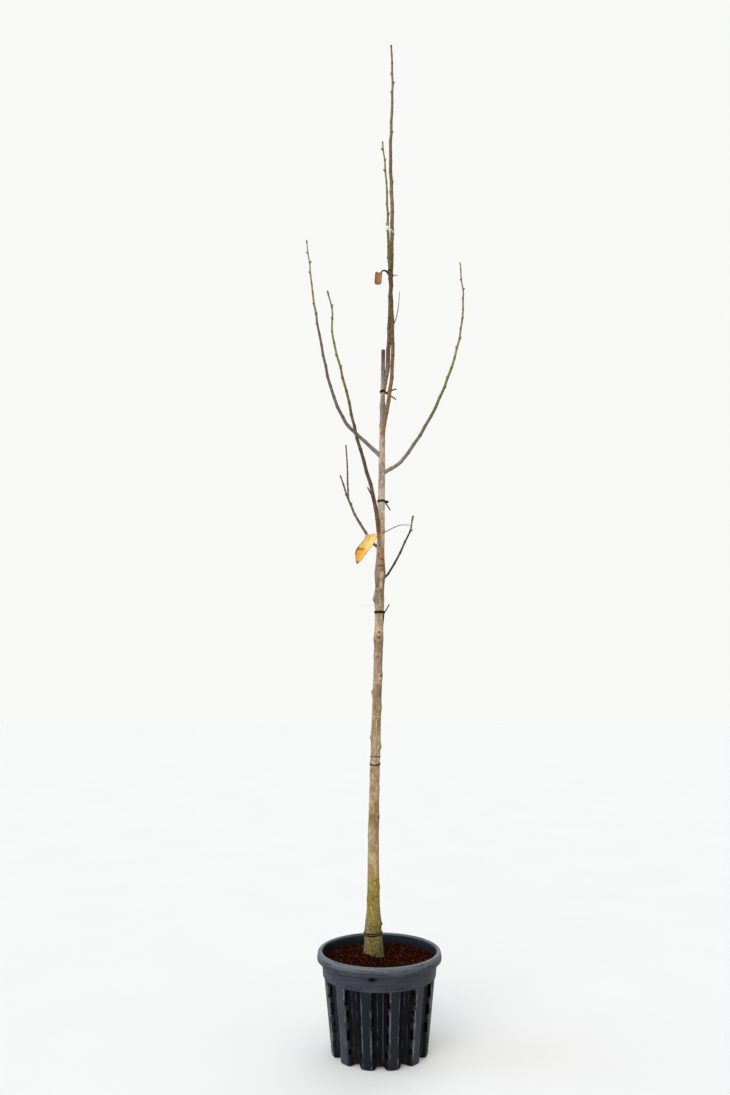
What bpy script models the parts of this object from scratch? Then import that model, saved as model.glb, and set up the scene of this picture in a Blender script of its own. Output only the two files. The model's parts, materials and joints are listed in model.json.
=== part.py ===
"""A young walnut tree, 4.5 m tall and nearly leafless, in a fluted nursery pot.

Metres, +Z up. The origin is the middle of the pot's flat underside, and the tree's front is -Y.
"""

import math
import random
from collections import namedtuple

import bmesh
import bpy
from mathutils import Vector

# Gap between neighbouring solids
CLEAR = 0.0003

# Pot: heights above the floor
POT_HEIGHT = 0.388
LIP_FOOT = 0.352
FLUTE_TOP = 0.292
GROOVE_FOOT = 0.012
SOLE_EDGE = 0.007
INNER_FOOT = 0.009

# Pot: radii and thickness
LIP_RADIUS = 0.2535
MOUTH_RADIUS = 0.2328
COLLAR_TOP_RADIUS = 0.2345
COLLAR_FOOT_RADIUS = 0.230
FLUTE_TOP_RADIUS = 0.2265
FLUTE_FOOT_RADIUS = 0.1945
SOLE_RADIUS = 0.150
WALL = 0.0035

# Pot: twelve lobes, given by half of one in plan as degrees from its middle and depth inside its face
LOBES = 12
GROOVE_DEPTH = 0.021
RIB_DEPTH = 0.017
HALF_LOBE = ((4.4, 0.0), (5.4, 0.004), (8.6, GROOVE_DEPTH), (11.6, RIB_DEPTH))

# Pot: rows of upright slots in both flanks of each lobe, as foot and head height
SLOT_ROWS = ((0.046, 0.063), (0.097, 0.134), (0.164, 0.206), (0.230, 0.280))
SLOT_WIDTH = 0.012
SLOT_REACH = 0.016
SLOT_DEGREES = 6.7
SLOT_DEPTH = 0.011

# Compost: level at the pot's wall, at the trunk, and the pad that the trunk stands on
SOIL_LEVEL = 0.350
SOIL_MOUND = 0.360
SOIL_PAD = 0.060

# Trunk: centre line as (height, x, y), and diameter as (height, diameter)
TRUNK_FOOT = SOIL_MOUND + CLEAR
TRUNK_TOP = 2.955
TRUNK_LINE = (
    (0.36, -0.024, 0.0),
    (0.90, -0.022, 0.004),
    (1.60, -0.001, 0.006),
    (2.30, 0.0145, 0.0),
    (2.955, 0.024, 0.0),
)
TRUNK_TAPER = (
    (0.36, 0.084),
    (0.44, 0.070),
    (0.58, 0.053),
    (0.90, 0.045),
    (1.40, 0.039),
    (2.05, 0.035),
    (2.50, 0.0265),
    (2.66, 0.022),
    (2.80, 0.0175),
    (2.955, 0.0165),
)
# Swellings all round the trunk: height, extra diameter, half their length
SWELLINGS = (
    (0.500, 0.004, 0.020),
    (1.650, 0.0035, 0.035),
    (1.810, 0.005, 0.040),
    (1.935, 0.0125, 0.045),
    (2.690, 0.005, 0.018),
)
# Knots on one side: height, degrees round from +X, how far they stand out, half their length
KNOTS = (
    (0.46, 200, 0.004, 0.030),
    (0.63, -30, 0.003, 0.016),
    (0.74, -110, 0.0025, 0.020),
    (0.91, -40, 0.004, 0.020),
    (1.10, -130, 0.003, 0.020),
    (1.20, 10, 0.003, 0.016),
    (1.24, 170, 0.003, 0.016),
    (1.42, 185, 0.004, 0.018),
    (1.49, -35, 0.004, 0.020),
    (1.66, -90, 0.005, 0.026),
    (1.84, 175, 0.005, 0.022),
    (2.00, 120, 0.003, 0.020),
)
KNOT_SPREAD = 42
BUTTRESSES = 4
BUTTRESS_RISE = 0.003
BUTTRESS_HEIGHT = 0.050
TRUNK_RING = 0.042
TRUNK_SIDES = 12

# One bough: the points it passes through, its diameters at foot, middle and tip, how much its
# foot swells at the trunk, the part of it that is old wood, and the seed of its buds
Limb = namedtuple("Limb", "name via foot middle tip collar wood seed")
LIMBS = (
    Limb(
        "leader",
        ((0.022, 0.0, 2.750), (0.044, 0.0, 2.882), (0.068, 0.014, 3.593),
         (0.062, 0.020, 3.924), (0.073, 0.026, 4.283), (0.069, 0.030, 4.517)),
        0.0190, 0.0160, 0.0080, 0.25, 0.46, 11,
    ),
    Limb(
        "side_bough",
        ((0.019, -0.004, 2.555), (0.059, -0.044, 2.802), (0.065, -0.045, 3.063),
         (0.050, -0.039, 3.394), (0.040, -0.058, 3.741), (0.022, -0.075, 3.939)),
        0.0155, 0.0120, 0.0058, 0.30, 0.42, 12,
    ),
    Limb(
        "high_left_bough",
        ((0.017, 0.0, 2.455), (-0.042, 0.002, 2.511), (-0.104, 0.007, 2.571),
         (-0.153, 0.010, 2.630), (-0.214, 0.018, 2.786), (-0.263, 0.034, 3.017),
         (-0.300, 0.046, 3.240), (-0.317, 0.054, 3.390), (-0.334, 0.060, 3.521)),
        0.0165, 0.0105, 0.0045, 0.65, 0.46, 13,
    ),
    Limb(
        "high_right_bough",
        ((0.016, 0.0, 2.380), (0.102, 0.009, 2.438), (0.239, 0.040, 2.655),
         (0.325, 0.062, 2.856), (0.368, 0.078, 2.996), (0.394, 0.094, 3.130),
         (0.405, 0.112, 3.272), (0.400, 0.120, 3.340), (0.394, 0.130, 3.446)),
        0.0165, 0.0105, 0.0045, 0.40, 0.40, 14,
    ),
    Limb(
        "mid_left_bough",
        ((0.009, 0.0, 2.070), (-0.021, -0.044, 2.262), (-0.064, -0.080, 2.417),
         (-0.103, -0.108, 2.552), (-0.130, -0.140, 2.674), (-0.163, -0.170, 2.799),
         (-0.200, -0.210, 2.950), (-0.198, -0.232, 3.027), (-0.218, -0.268, 3.118)),
        0.0180, 0.0110, 0.0050, 0.20, 0.44, 15,
    ),
    Limb(
        "low_left_bough",
        ((0.009, 0.0, 2.045), (-0.024, 0.005, 2.069), (-0.111, 0.057, 2.223),
         (-0.173, 0.110, 2.401)),
        0.0120, 0.0100, 0.0055, 0.35, 0.50, 16,
    ),
    Limb(
        "low_right_bough",
        ((0.005, 0.0, 1.900), (0.045, -0.009, 1.935), (0.131, -0.066, 2.100),
         (0.150, -0.090, 2.176)),
        0.0104, 0.0094, 0.0070, 0.30, 0.42, 17,
    ),
)
LIMB_RING = 0.038
BOUGH_SIDES = 8
SHOOT_SIDES = 6
COLLAR_LENGTH = 0.022
END_BUD = 0.013
AIM = 0.005

# Shoots: distance from bud to bud, the kink at each, and the buds
INTERNODE = 0.052
KINK = 0.0016
BUD_TURN = 144
BUD_LENGTH = 0.0105
BUD_WIDTH = 0.0064
BUD_LEAN = 35

# Side twigs and bare leaf stalks: what they grow from, their points, and their end diameters
Twig = namedtuple("Twig", "name host via foot tip")
FORK_TWIG = Twig(
    "low_left_fork", "low_left_bough",
    ((-0.1335, 0.076, 2.284), (-0.137, 0.086, 2.354), (-0.139, 0.090, 2.438), (-0.145, 0.088, 2.526)),
    0.0088, 0.0056,
)
SPUR_TWIG = Twig(
    "mid_left_spur", "mid_left_bough",
    ((-0.0210, -0.0430, 2.256), (-0.0320, -0.0480, 2.276), (-0.0430, -0.0500, 2.298)),
    0.0074, 0.0050,
)
STALKS = (
    Twig(
        "low_leaf_stalk", "trunk",
        ((0.0200, -0.012, 2.110), (0.062, -0.020, 2.131), (0.098, -0.030, 2.143), (0.138, -0.040, 2.141)),
        0.0042, 0.0026,
    ),
    Twig(
        "high_leaf_stalk", "side_bough",
        ((0.0680, -0.046, 3.050), (0.084, -0.050, 3.095), (0.093, -0.052, 3.150), (0.098, -0.050, 3.212)),
        0.0044, 0.0028,
    ),
)

# Leaves: where the stalk begins, where the blade begins and ends, its width, how pointed its outline
# is, how far each half folds up, how far the blade sags, and its thickness
Leaf = namedtuple("Leaf", "name host stalk base end width point fold sag thick")
LEAVES = (
    Leaf(
        "yellow_leaf", "mid_left_bough",
        (-0.0140, -0.0235, 2.088), (-0.030, -0.034, 2.100), (-0.094, -0.046, 1.972),
        0.066, 0.75, 34, 0.016, 0.0016,
    ),
    Leaf(
        "dry_leaf", "side_bough",
        (0.0445, -0.0500, 3.306), (0.003, -0.062, 3.302), (-0.001, -0.068, 3.242),
        0.032, 0.22, 22, 0.006, 0.0014,
    ),
)
LEAF_STATIONS = 7
LEAF_STALK = 0.0024

# Colours as red, green and blue, then roughness
FINISHES = {
    "pot_plastic": ((0.028, 0.032, 0.042), 0.45),
    "compost": ((0.050, 0.020, 0.013), 0.95),
    "trunk_bark": ((0.330, 0.270, 0.200), 0.85),
    "old_bark": ((0.230, 0.190, 0.150), 0.80),
    "shoot_bark": ((0.150, 0.140, 0.050), 0.60),
    "leaf_yellow": ((0.780, 0.480, 0.060), 0.55),
    "leaf_brown": ((0.200, 0.090, 0.030), 0.80),
}


def clear_scene():
    """Remove whatever the scene holds."""
    for thing in list(bpy.data.objects):
        bpy.data.objects.remove(thing)


def finish(name):
    """The Principled material of this name."""
    material = bpy.data.materials.get(name)
    if material is None:
        colour, roughness = FINISHES[name]
        material = bpy.data.materials.new(name)
        material.use_nodes = True
        shader = material.node_tree.nodes["Principled BSDF"]
        shader.inputs["Base Color"].default_value = (*colour, 1.0)
        shader.inputs["Roughness"].default_value = roughness
        shader.inputs["Metallic"].default_value = 0.0
        material.diffuse_color = (*colour, 1.0)
    return material


def add_skin(name, rings, finish_name, sharp=40):
    """A closed solid through a stack of rings, with a flat cap on each end."""
    skin = bmesh.new()
    loops = [[skin.verts.new(point) for point in ring] for ring in rings]
    for lower, upper in zip(loops, loops[1:]):
        for i, corner in enumerate(lower):
            j = (i + 1) % len(lower)
            skin.faces.new((corner, lower[j], upper[j]))
            skin.faces.new((corner, upper[j], upper[i]))
    skin.faces.new(reversed(loops[0]))
    skin.faces.new(loops[-1])
    bmesh.ops.recalc_face_normals(skin, faces=skin.faces)
    mesh = bpy.data.meshes.new(name)
    skin.to_mesh(mesh)
    skin.free()
    mesh.shade_smooth()
    mesh.set_sharp_from_angle(angle=math.radians(sharp))
    mesh.materials.append(finish(finish_name))
    solid = bpy.data.objects.new(name, mesh)
    bpy.context.scene.collection.objects.link(solid)
    return solid


def combine(solid, helpers, operation, solver="EXACT"):
    """Join the helpers to a solid, or cut them from it, in one Boolean, then remove them."""
    group = bpy.data.collections.new(solid.name + "_helpers")
    bpy.context.scene.collection.children.link(group)
    for helper in helpers:
        group.objects.link(helper)
    boolean = solid.modifiers.new(operation.lower(), "BOOLEAN")
    boolean.operation = operation
    boolean.operand_type = "COLLECTION"
    boolean.collection = group
    boolean.solver = solver
    bpy.context.view_layer.update()
    graph = bpy.context.evaluated_depsgraph_get()
    joined = bpy.data.meshes.new_from_object(solid.evaluated_get(graph))
    solid.modifiers.clear()
    solid.data = joined
    for helper in helpers:
        bpy.data.objects.remove(helper)
    bpy.data.collections.remove(group)


def keep_largest(solid):
    """Drop the loose scraps that a cut leaves."""
    body = bmesh.new()
    body.from_mesh(solid.data)
    unseen = set(body.verts)
    parts = []
    while unseen:
        part = [unseen.pop()]
        for vertex in part:
            near = {edge.other_vert(vertex) for edge in vertex.link_edges} & unseen
            unseen -= near
            part.extend(near)
        parts.append(part)
    parts.sort(key=len)
    scraps = [vertex for part in parts[:-1] for vertex in part]
    bmesh.ops.delete(body, geom=scraps, context="VERTS")
    body.to_mesh(solid.data)
    body.free()


def smooth(stations, at):
    """Values at a place, on a smooth curve through stations of (place, value, ...)."""
    def slope(i):
        before = stations[max(i - 1, 0)]
        after = stations[min(i + 1, len(stations) - 1)]
        return [(b - a) / (after[0] - before[0]) for a, b in zip(before[1:], after[1:])]

    at = min(max(at, stations[0][0]), stations[-1][0])
    i = max(k for k in range(len(stations) - 1) if stations[k][0] <= at)
    span = stations[i + 1][0] - stations[i][0]
    t = (at - stations[i][0]) / span
    blend = (2 * t**3 - 3 * t**2 + 1, (t**3 - 2 * t**2 + t) * span, 3 * t**2 - 2 * t**3, (t**3 - t**2) * span)
    columns = zip(stations[i][1:], slope(i), stations[i + 1][1:], slope(i + 1))
    return [sum(b * v for b, v in zip(blend, column)) for column in columns]


def headings(points):
    """The direction of a path at each of its points."""
    last = len(points) - 1
    return [(points[min(i + 1, last)] - points[max(i - 1, 0)]).normalized() for i in range(last + 1)]


def frames(alongs):
    """Two directions across each heading of a path, carried along it without twist."""
    across = []
    side = Vector((0, 1, 0)).cross(alongs[0])
    for along in alongs:
        side = (side - along * side.dot(along)).normalized()
        across.append((side, along.cross(side)))
    return across


def ring_round(centre, pair, radius, sides):
    """A ring of points round a path's point; radius is a number or a function of the angle."""
    ring = []
    for k in range(sides):
        angle = math.tau * k / sides
        reach = radius(angle) if callable(radius) else radius
        ring.append(centre + reach * (math.cos(angle) * pair[0] + math.sin(angle) * pair[1]))
    return ring


def lobe_points():
    """(degrees, depth, side) of the corners round the pot; side is which flank of its lobe."""
    points = []
    for lobe in range(LOBES):
        middle = 360 / LOBES * (lobe + 0.5)
        points += [(middle - degrees, depth, -1) for degrees, depth in reversed(HALF_LOBE)]
        points += [(middle + degrees, depth, 1) for degrees, depth in HALF_LOBE]
    return points


def polar(radius, angle, height):
    return Vector((radius * math.cos(angle), radius * math.sin(angle), height))


def fluted_ring(radius, height, inset=0.0, lift=0.0):
    """A lobed ring, moved in by inset; lift raises it in the grooves."""
    ring = []
    for degrees, depth, side in lobe_points():
        angle = math.radians(degrees) - side * inset / radius
        ring.append(polar(radius - depth - inset, angle, height + lift * (depth > GROOVE_DEPTH / 2)))
    return ring


def round_ring(radius, height, centre_x=0.0):
    """A plain ring with the lobed ring's number of corners."""
    centre = Vector((centre_x, 0, 0))
    return [centre + polar(radius, math.radians(degrees), height) for degrees, _, _ in lobe_points()]


def add_slot_cutters():
    """Upright boxes through both flanks of each lobe, on every row."""
    cutters = []
    rise = math.atan2(GROOVE_DEPTH, math.radians(HALF_LOBE[2][0] - HALF_LOBE[1][0]) * FLUTE_TOP_RADIUS)
    for row, (foot, head) in enumerate(SLOT_ROWS):
        share = (foot + head) / 2 / FLUTE_TOP
        radius = FLUTE_FOOT_RADIUS + share * (FLUTE_TOP_RADIUS - FLUTE_FOOT_RADIUS) - SLOT_DEPTH
        for lobe in range(LOBES):
            for side in (-1, 1):
                angle = math.radians(360 / LOBES * (lobe + 0.5) + side * SLOT_DEGREES)
                centre = polar(radius, angle, 0)
                across = polar(1, angle + side * (math.pi / 2 - math.pi + rise), 0)
                through = polar(1, angle + side * rise, 0)
                corners = [
                    centre + a * SLOT_WIDTH / 2 * across + b * SLOT_REACH / 2 * through
                    for a, b in ((-1, -1), (1, -1), (1, 1), (-1, 1))
                ]
                rings = [[corner + Vector((0, 0, z)) for corner in corners] for z in (foot, head)]
                cutters.append(add_skin(f"slot_{row}_{lobe}_{side + 1}", rings, "pot_plastic"))
    return cutters


def add_pot():
    """Fluted wall with a flat sole, a round collar and a rolled lip, slotted in its flanks."""
    inner_collar_top = COLLAR_TOP_RADIUS - WALL
    rings = [
        round_ring(SOLE_RADIUS, 0.0),
        fluted_ring(FLUTE_FOOT_RADIUS - SOLE_EDGE, 0.0, lift=GROOVE_FOOT),
        fluted_ring(FLUTE_FOOT_RADIUS, SOLE_EDGE, lift=GROOVE_FOOT),
        fluted_ring(FLUTE_TOP_RADIUS, FLUTE_TOP),
        round_ring(COLLAR_FOOT_RADIUS, FLUTE_TOP),
        round_ring(COLLAR_TOP_RADIUS, LIP_FOOT),
        round_ring(LIP_RADIUS - 0.001, LIP_FOOT),
        round_ring(LIP_RADIUS, LIP_FOOT + 0.012),
        round_ring(LIP_RADIUS - 0.003, POT_HEIGHT - 0.006),
        round_ring(LIP_RADIUS - 0.009, POT_HEIGHT),
        round_ring(MOUTH_RADIUS + 0.003, POT_HEIGHT - 0.001),
        round_ring(MOUTH_RADIUS, POT_HEIGHT - 0.006),
        round_ring(inner_collar_top, LIP_FOOT),
        round_ring(COLLAR_FOOT_RADIUS - WALL, FLUTE_TOP + WALL),
        fluted_ring(FLUTE_TOP_RADIUS, FLUTE_TOP + WALL, inset=WALL),
        fluted_ring(FLUTE_FOOT_RADIUS, INNER_FOOT, inset=WALL, lift=GROOVE_FOOT),
        round_ring(SOLE_RADIUS, WALL),
    ]
    pot = add_skin("pot", rings, "pot_plastic")
    combine(pot, add_slot_cutters(), "DIFFERENCE", "MANIFOLD")
    return pot


def add_compost():
    """The filling: the pot's inner shape, 0.3 mm clear, with a low mound round the trunk."""
    gap = WALL + CLEAR
    foot_x = TRUNK_LINE[0][1]
    level_share = (SOIL_LEVEL - FLUTE_TOP) / (LIP_FOOT - FLUTE_TOP)
    level_radius = COLLAR_FOOT_RADIUS + level_share * (COLLAR_TOP_RADIUS - COLLAR_FOOT_RADIUS)
    rings = [
        round_ring(SOIL_PAD, SOIL_MOUND, foot_x),
        round_ring(0.60 * COLLAR_TOP_RADIUS, 0.75 * SOIL_LEVEL + 0.25 * SOIL_MOUND, foot_x / 2),
        round_ring(level_radius - gap, SOIL_LEVEL),
        round_ring(COLLAR_FOOT_RADIUS - gap, FLUTE_TOP + gap),
        fluted_ring(FLUTE_TOP_RADIUS, FLUTE_TOP + gap, inset=gap),
        fluted_ring(FLUTE_FOOT_RADIUS, INNER_FOOT + CLEAR, inset=gap, lift=GROOVE_FOOT),
        round_ring(SOLE_RADIUS, gap),
    ]
    return add_skin("compost", rings, "compost")


def swelling(distance, half_length):
    return math.exp(-((distance / half_length) ** 2))


def trunk_radius(height, angle):
    """Taper, swellings, knots and the flare at the foot."""
    radius = smooth(TRUNK_TAPER, height)[0] / 2
    for level, extra, half in SWELLINGS:
        radius += extra / 2 * swelling(height - level, half)
    for level, degrees, rise, half in KNOTS:
        turn = (math.degrees(angle) - degrees + 180) % 360 - 180
        radius += rise * swelling(height - level, half) * swelling(turn, KNOT_SPREAD)
    lift = (height - TRUNK_FOOT) / BUTTRESS_HEIGHT
    return radius + BUTTRESS_RISE * math.cos(BUTTRESSES * angle + 1) * math.exp(-lift)


def add_trunk(name="trunk", grow=0.0):
    """The stem from its flat foot to the sawn top; grow makes it fatter all round."""
    count = round((TRUNK_TOP - TRUNK_FOOT) / TRUNK_RING)
    rings = []
    for i in range(count + 1):
        height = TRUNK_FOOT + (TRUNK_TOP - TRUNK_FOOT) * i / count
        centre = Vector((*smooth(TRUNK_LINE, height), height))
        pair = (Vector((1, 0, 0)), Vector((0, 1, 0)))
        rings.append(ring_round(centre, pair, lambda a: trunk_radius(height, a) + grow, TRUNK_SIDES))
    if grow:
        for end, step in ((0, -grow), (-1, grow)):
            rings[end] = [point + Vector((0, 0, step)) for point in rings[end]]
    return add_skin(name, rings, "trunk_bark")


def curve_through(via):
    """Points 5 mm apart on a smooth curve through the given ones, with the way travelled to each."""
    way = [0.0]
    for here, there in zip(via, via[1:]):
        way.append(way[-1] + (Vector(there) - Vector(here)).length)
    stations = [(travelled, *point) for travelled, point in zip(way, via)]
    count = round(way[-1] / 0.005)
    points = [Vector(smooth(stations, way[-1] * i / count)) for i in range(count + 1)]
    travelled = [0.0]
    for here, there in zip(points, points[1:]):
        travelled.append(travelled[-1] + (there - here).length)
    return points, travelled


def point_at(curve, distance):
    """The point this far along a curve."""
    points, travelled = curve
    i = next((k for k, way in enumerate(travelled[1:]) if way >= distance), len(points) - 2)
    share = (distance - travelled[i]) / (travelled[i + 1] - travelled[i])
    return points[i].lerp(points[i + 1], share)


def kinked(curve, distance):
    """A point of a shoot, which bends a little to and fro from bud to bud."""
    def kink(node):
        angle = math.radians(BUD_TURN * node)
        return KINK * Vector((math.cos(angle), math.sin(angle), 0))

    node, share = divmod(distance / INTERNODE, 1)
    settled = min(distance / INTERNODE / 2, 1)
    return point_at(curve, distance) + settled * kink(node).lerp(kink(node + 1), share)


def limb_radius(limb, share, distance):
    """Taper from foot to tip, with a collar at the trunk."""
    stations = ((0.0, limb.foot), (0.5, limb.middle), (1.0, limb.tip))
    radius = smooth(stations, share)[0] / 2
    return radius * (1 + limb.collar * math.exp(-distance / COLLAR_LENGTH))


def limb_rings(limb, curve, start, end, sides, grow=0.0):
    """Rings along a stretch of a limb, from start to end in metres along it, made fatter by grow."""
    length = curve[1][-1]
    count = max(2, round((end - start) / LIMB_RING))
    ways = [start + (end - start) * i / count for i in range(count + 1)]
    alongs = [(kinked(curve, way + AIM) - kinked(curve, way - AIM)).normalized() for way in ways]
    return [
        ring_round(kinked(curve, way), pair, limb_radius(limb, way / length, way) + grow, sides)
        for way, pair in zip(ways, frames(alongs))
    ]


def add_bud(name, foot, along, outward, size):
    """A blunt four-sided bud that leans out from its shoot."""
    lean = math.radians(BUD_LEAN)
    heading = (along * math.cos(lean) + outward * math.sin(lean)).normalized()
    side = heading.cross(outward).normalized()
    front = side.cross(heading)
    rings = []
    for share, fullness in ((0.0, 0.55), (0.45, 1.0), (1.0, 0.22)):
        centre = foot + heading * BUD_LENGTH * size * share
        half = BUD_WIDTH * size / 2 * fullness
        rings.append([centre + half * turn for turn in (side, front, -side, -front)])
    return add_skin(name, rings, "shoot_bark")


def shoot_buds(limb, curve, start, end, seed):
    """Buds round a shoot, one at each bend, smaller towards the foot, and one at its tip."""
    rule = random.Random(seed)
    buds = []
    length = curve[1][-1]
    nodes = range(math.ceil((start + 0.012) / INTERNODE), math.ceil((end - 0.012) / INTERNODE))
    for node in nodes:
        way = node * INTERNODE
        point = kinked(curve, way)
        along = (kinked(curve, way + AIM) - kinked(curve, way - AIM)).normalized()
        turn = math.radians(BUD_TURN * node + rule.uniform(-20, 20))
        outward = Vector((math.cos(turn), math.sin(turn), 0))
        outward = (outward - along * outward.dot(along)).normalized()
        radius = limb_radius(limb, way / length, way)
        size = rule.uniform(0.75, 1.05) * (0.7 + 0.3 * way / length)
        foot = point + outward * radius * 0.55
        buds.append(add_bud(f"{limb.name}_bud_{node}", foot, along, outward, size))
    return buds


def tip_rings(rings):
    """The end bud: two more rings that swell a little and close to a point's width."""
    last = sum(rings[-1], Vector()) / len(rings[-1])
    along = (last - sum(rings[-2], Vector()) / len(rings[-2])).normalized()
    bud = []
    for step, fullness in ((0.004, 1.25), (END_BUD, 0.30)):
        bud.append([last + along * step + (point - last) * fullness for point in rings[-1]])
    return bud


def limb_stretches(limb, curve, grow=0.0):
    """The rings of a limb's old wood and, past a 0.3 mm gap, of its shoot, made fatter by grow."""
    length = curve[1][-1]
    join = length * limb.wood
    wood = limb_rings(limb, curve, 0.0, join, BOUGH_SIDES, grow)
    shoot = limb_rings(limb, curve, join + CLEAR, length - END_BUD, SHOOT_SIDES, grow)
    return wood, shoot


def add_limb(limb):
    """One bough of old wood, the shoot that goes on from it, and the shoot's buds."""
    curve = curve_through(limb.via)
    length = curve[1][-1]
    wood, young = limb_stretches(limb, curve)
    bough = add_skin(limb.name, wood, "old_bark", 80)
    combine(bough, [add_trunk("trunk_cutter", CLEAR)], "DIFFERENCE")
    keep_largest(bough)
    shoot_name = limb.name.replace("_bough", "") + "_shoot"
    shoot = add_skin(shoot_name, young + tip_rings(young), "shoot_bark", 80)
    return bough, shoot, shoot_buds(limb, curve, length * limb.wood, length - END_BUD, limb.seed)


def add_host_cutters(host):
    """The trunk, or a limb's old wood and shoot, 0.3 mm fatter all round."""
    if host == "trunk":
        return [add_trunk("trunk_cutter", CLEAR)]
    limb = next(limb for limb in LIMBS if limb.name == host)
    stretches = limb_stretches(limb, curve_through(limb.via), CLEAR)
    return [add_skin("limb_cutter", rings, "old_bark") for rings in stretches]


def clear_of_host(solid, host):
    """Cut a twig, stalk or leaf back to 0.3 mm from what it grows from."""
    combine(solid, add_host_cutters(host), "DIFFERENCE")
    keep_largest(solid)


def add_twig(twig, sides=5, end_bud=True):
    """A short plain twig or leaf stalk."""
    points = [Vector(point) for point in twig.via]
    rings = []
    for i, (point, pair) in enumerate(zip(points, frames(headings(points)))):
        share = i / (len(points) - 1)
        rings.append(ring_round(point, pair, (twig.foot + (twig.tip - twig.foot) * share) / 2, sides))
    if end_bud:
        rings += tip_rings(rings)
    return add_skin(twig.name, rings, "shoot_bark", 80)


def leaf_half_width(share, point):
    """Half the outline of a leaf, as a share of its width, from an oblong to a pointed oval."""
    return 0.5 * math.sin(math.pi * share**0.85) ** point


def add_leaf(leaf, finish_name):
    """A blade folded up along its midrib, on a thin stalk."""
    base = Vector(leaf.base)
    end = Vector(leaf.end)
    along = (end - base).normalized()
    side = along.cross(Vector((0, -1, 0))).normalized()
    face = side.cross(along)
    fold = math.radians(leaf.fold)
    rings = []
    for i in range(LEAF_STATIONS):
        share = 0.02 + 0.96 * i / (LEAF_STATIONS - 1)
        rib = base.lerp(end, share) + face * leaf.sag * math.sin(math.pi * share)
        half = leaf.width * leaf_half_width(share, leaf.point)
        out = math.cos(fold) * side
        up = math.sin(fold) * face
        left = rib + half * (up - out)
        right = rib + half * (up + out)
        down = face * leaf.thick
        rings.append([left, rib, right, right - down, rib - down, left - down])
    blade = add_skin(leaf.name, rings, finish_name, 60)
    stalk_points = (leaf.stalk, tuple(base), tuple(rings_middle(rings[1])))
    stalk_shape = Twig(leaf.name + "_stalk", leaf.host, stalk_points, LEAF_STALK, LEAF_STALK * 0.8)
    stalk = add_twig(stalk_shape, 5, False)
    combine(blade, [stalk], "UNION")
    return blade


def rings_middle(ring):
    """The middle of a blade's section at its rib."""
    return (ring[1] + ring[4]) / 2


def main():
    clear_scene()
    add_pot()
    add_compost()
    add_trunk()
    for limb in LIMBS:
        bough, shoot, buds = add_limb(limb)
        if limb.name == "low_left_bough":
            buds.append(add_twig(FORK_TWIG))
        combine(shoot, buds, "UNION")
        keep_largest(shoot)
    clear_of_host(add_twig(SPUR_TWIG), SPUR_TWIG.host)
    for stalk in STALKS:
        clear_of_host(add_twig(stalk, 4, False), stalk.host)
    for leaf, finish_name in zip(LEAVES, ("leaf_yellow", "leaf_brown")):
        clear_of_host(add_leaf(leaf, finish_name), leaf.host)


main()
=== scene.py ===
"""The looks of a young walnut tree, nearly leafless, in a fluted black nursery pot.

Metres, +Z up, and the tree's front is -Y, as in the frame that it loads.
"""

import json
import math
import random
from collections import namedtuple

import bmesh
import bpy
from mathutils import Matrix, Vector, noise

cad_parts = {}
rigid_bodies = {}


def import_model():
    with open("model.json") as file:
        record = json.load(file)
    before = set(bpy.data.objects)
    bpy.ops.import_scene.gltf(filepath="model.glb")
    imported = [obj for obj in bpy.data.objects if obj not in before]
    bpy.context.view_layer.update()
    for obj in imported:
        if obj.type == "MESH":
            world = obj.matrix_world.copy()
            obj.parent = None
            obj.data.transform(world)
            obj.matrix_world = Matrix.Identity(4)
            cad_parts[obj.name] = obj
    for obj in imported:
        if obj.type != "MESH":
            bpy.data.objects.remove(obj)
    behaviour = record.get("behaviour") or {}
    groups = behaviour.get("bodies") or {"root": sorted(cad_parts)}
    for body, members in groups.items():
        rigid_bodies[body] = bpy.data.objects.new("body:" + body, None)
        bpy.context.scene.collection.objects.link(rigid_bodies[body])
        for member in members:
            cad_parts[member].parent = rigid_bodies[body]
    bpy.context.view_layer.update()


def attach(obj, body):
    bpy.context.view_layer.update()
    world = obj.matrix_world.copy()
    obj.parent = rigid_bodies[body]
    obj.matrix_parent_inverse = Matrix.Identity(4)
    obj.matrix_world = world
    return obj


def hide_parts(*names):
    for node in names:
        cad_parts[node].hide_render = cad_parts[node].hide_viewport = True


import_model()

# Camera: a 29 mm lens on a 36 mm sensor, 3.8 m in front of the tree, tilted up a little
CAMERA_PLACE = (-0.0586, -3.807, 1.458)
CAMERA_TILT = 98.82
CAMERA_LENS = 28.93

# Trunk: centre line as (height, x, y), and diameter as (height, diameter)
TRUNK_FOOT = 0.3603
TRUNK_TOP = 2.955
TRUNK_LINE = (
    (0.36, -0.024, 0.0),
    (0.90, -0.022, 0.004),
    (1.60, -0.001, 0.006),
    (2.30, 0.0145, 0.0),
    (2.955, 0.024, 0.0),
)
TRUNK_TAPER = (
    (0.36, 0.084),
    (0.44, 0.070),
    (0.58, 0.053),
    (0.90, 0.045),
    (1.40, 0.039),
    (2.05, 0.035),
    (2.50, 0.0265),
    (2.66, 0.0235),
    (2.80, 0.0193),
    (2.955, 0.0174),
)
SWELLINGS = (
    (0.500, 0.004, 0.020),
    (1.650, 0.0035, 0.035),
    (1.810, 0.005, 0.040),
    (1.935, 0.0125, 0.045),
    (2.690, 0.005, 0.018),
)
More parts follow.
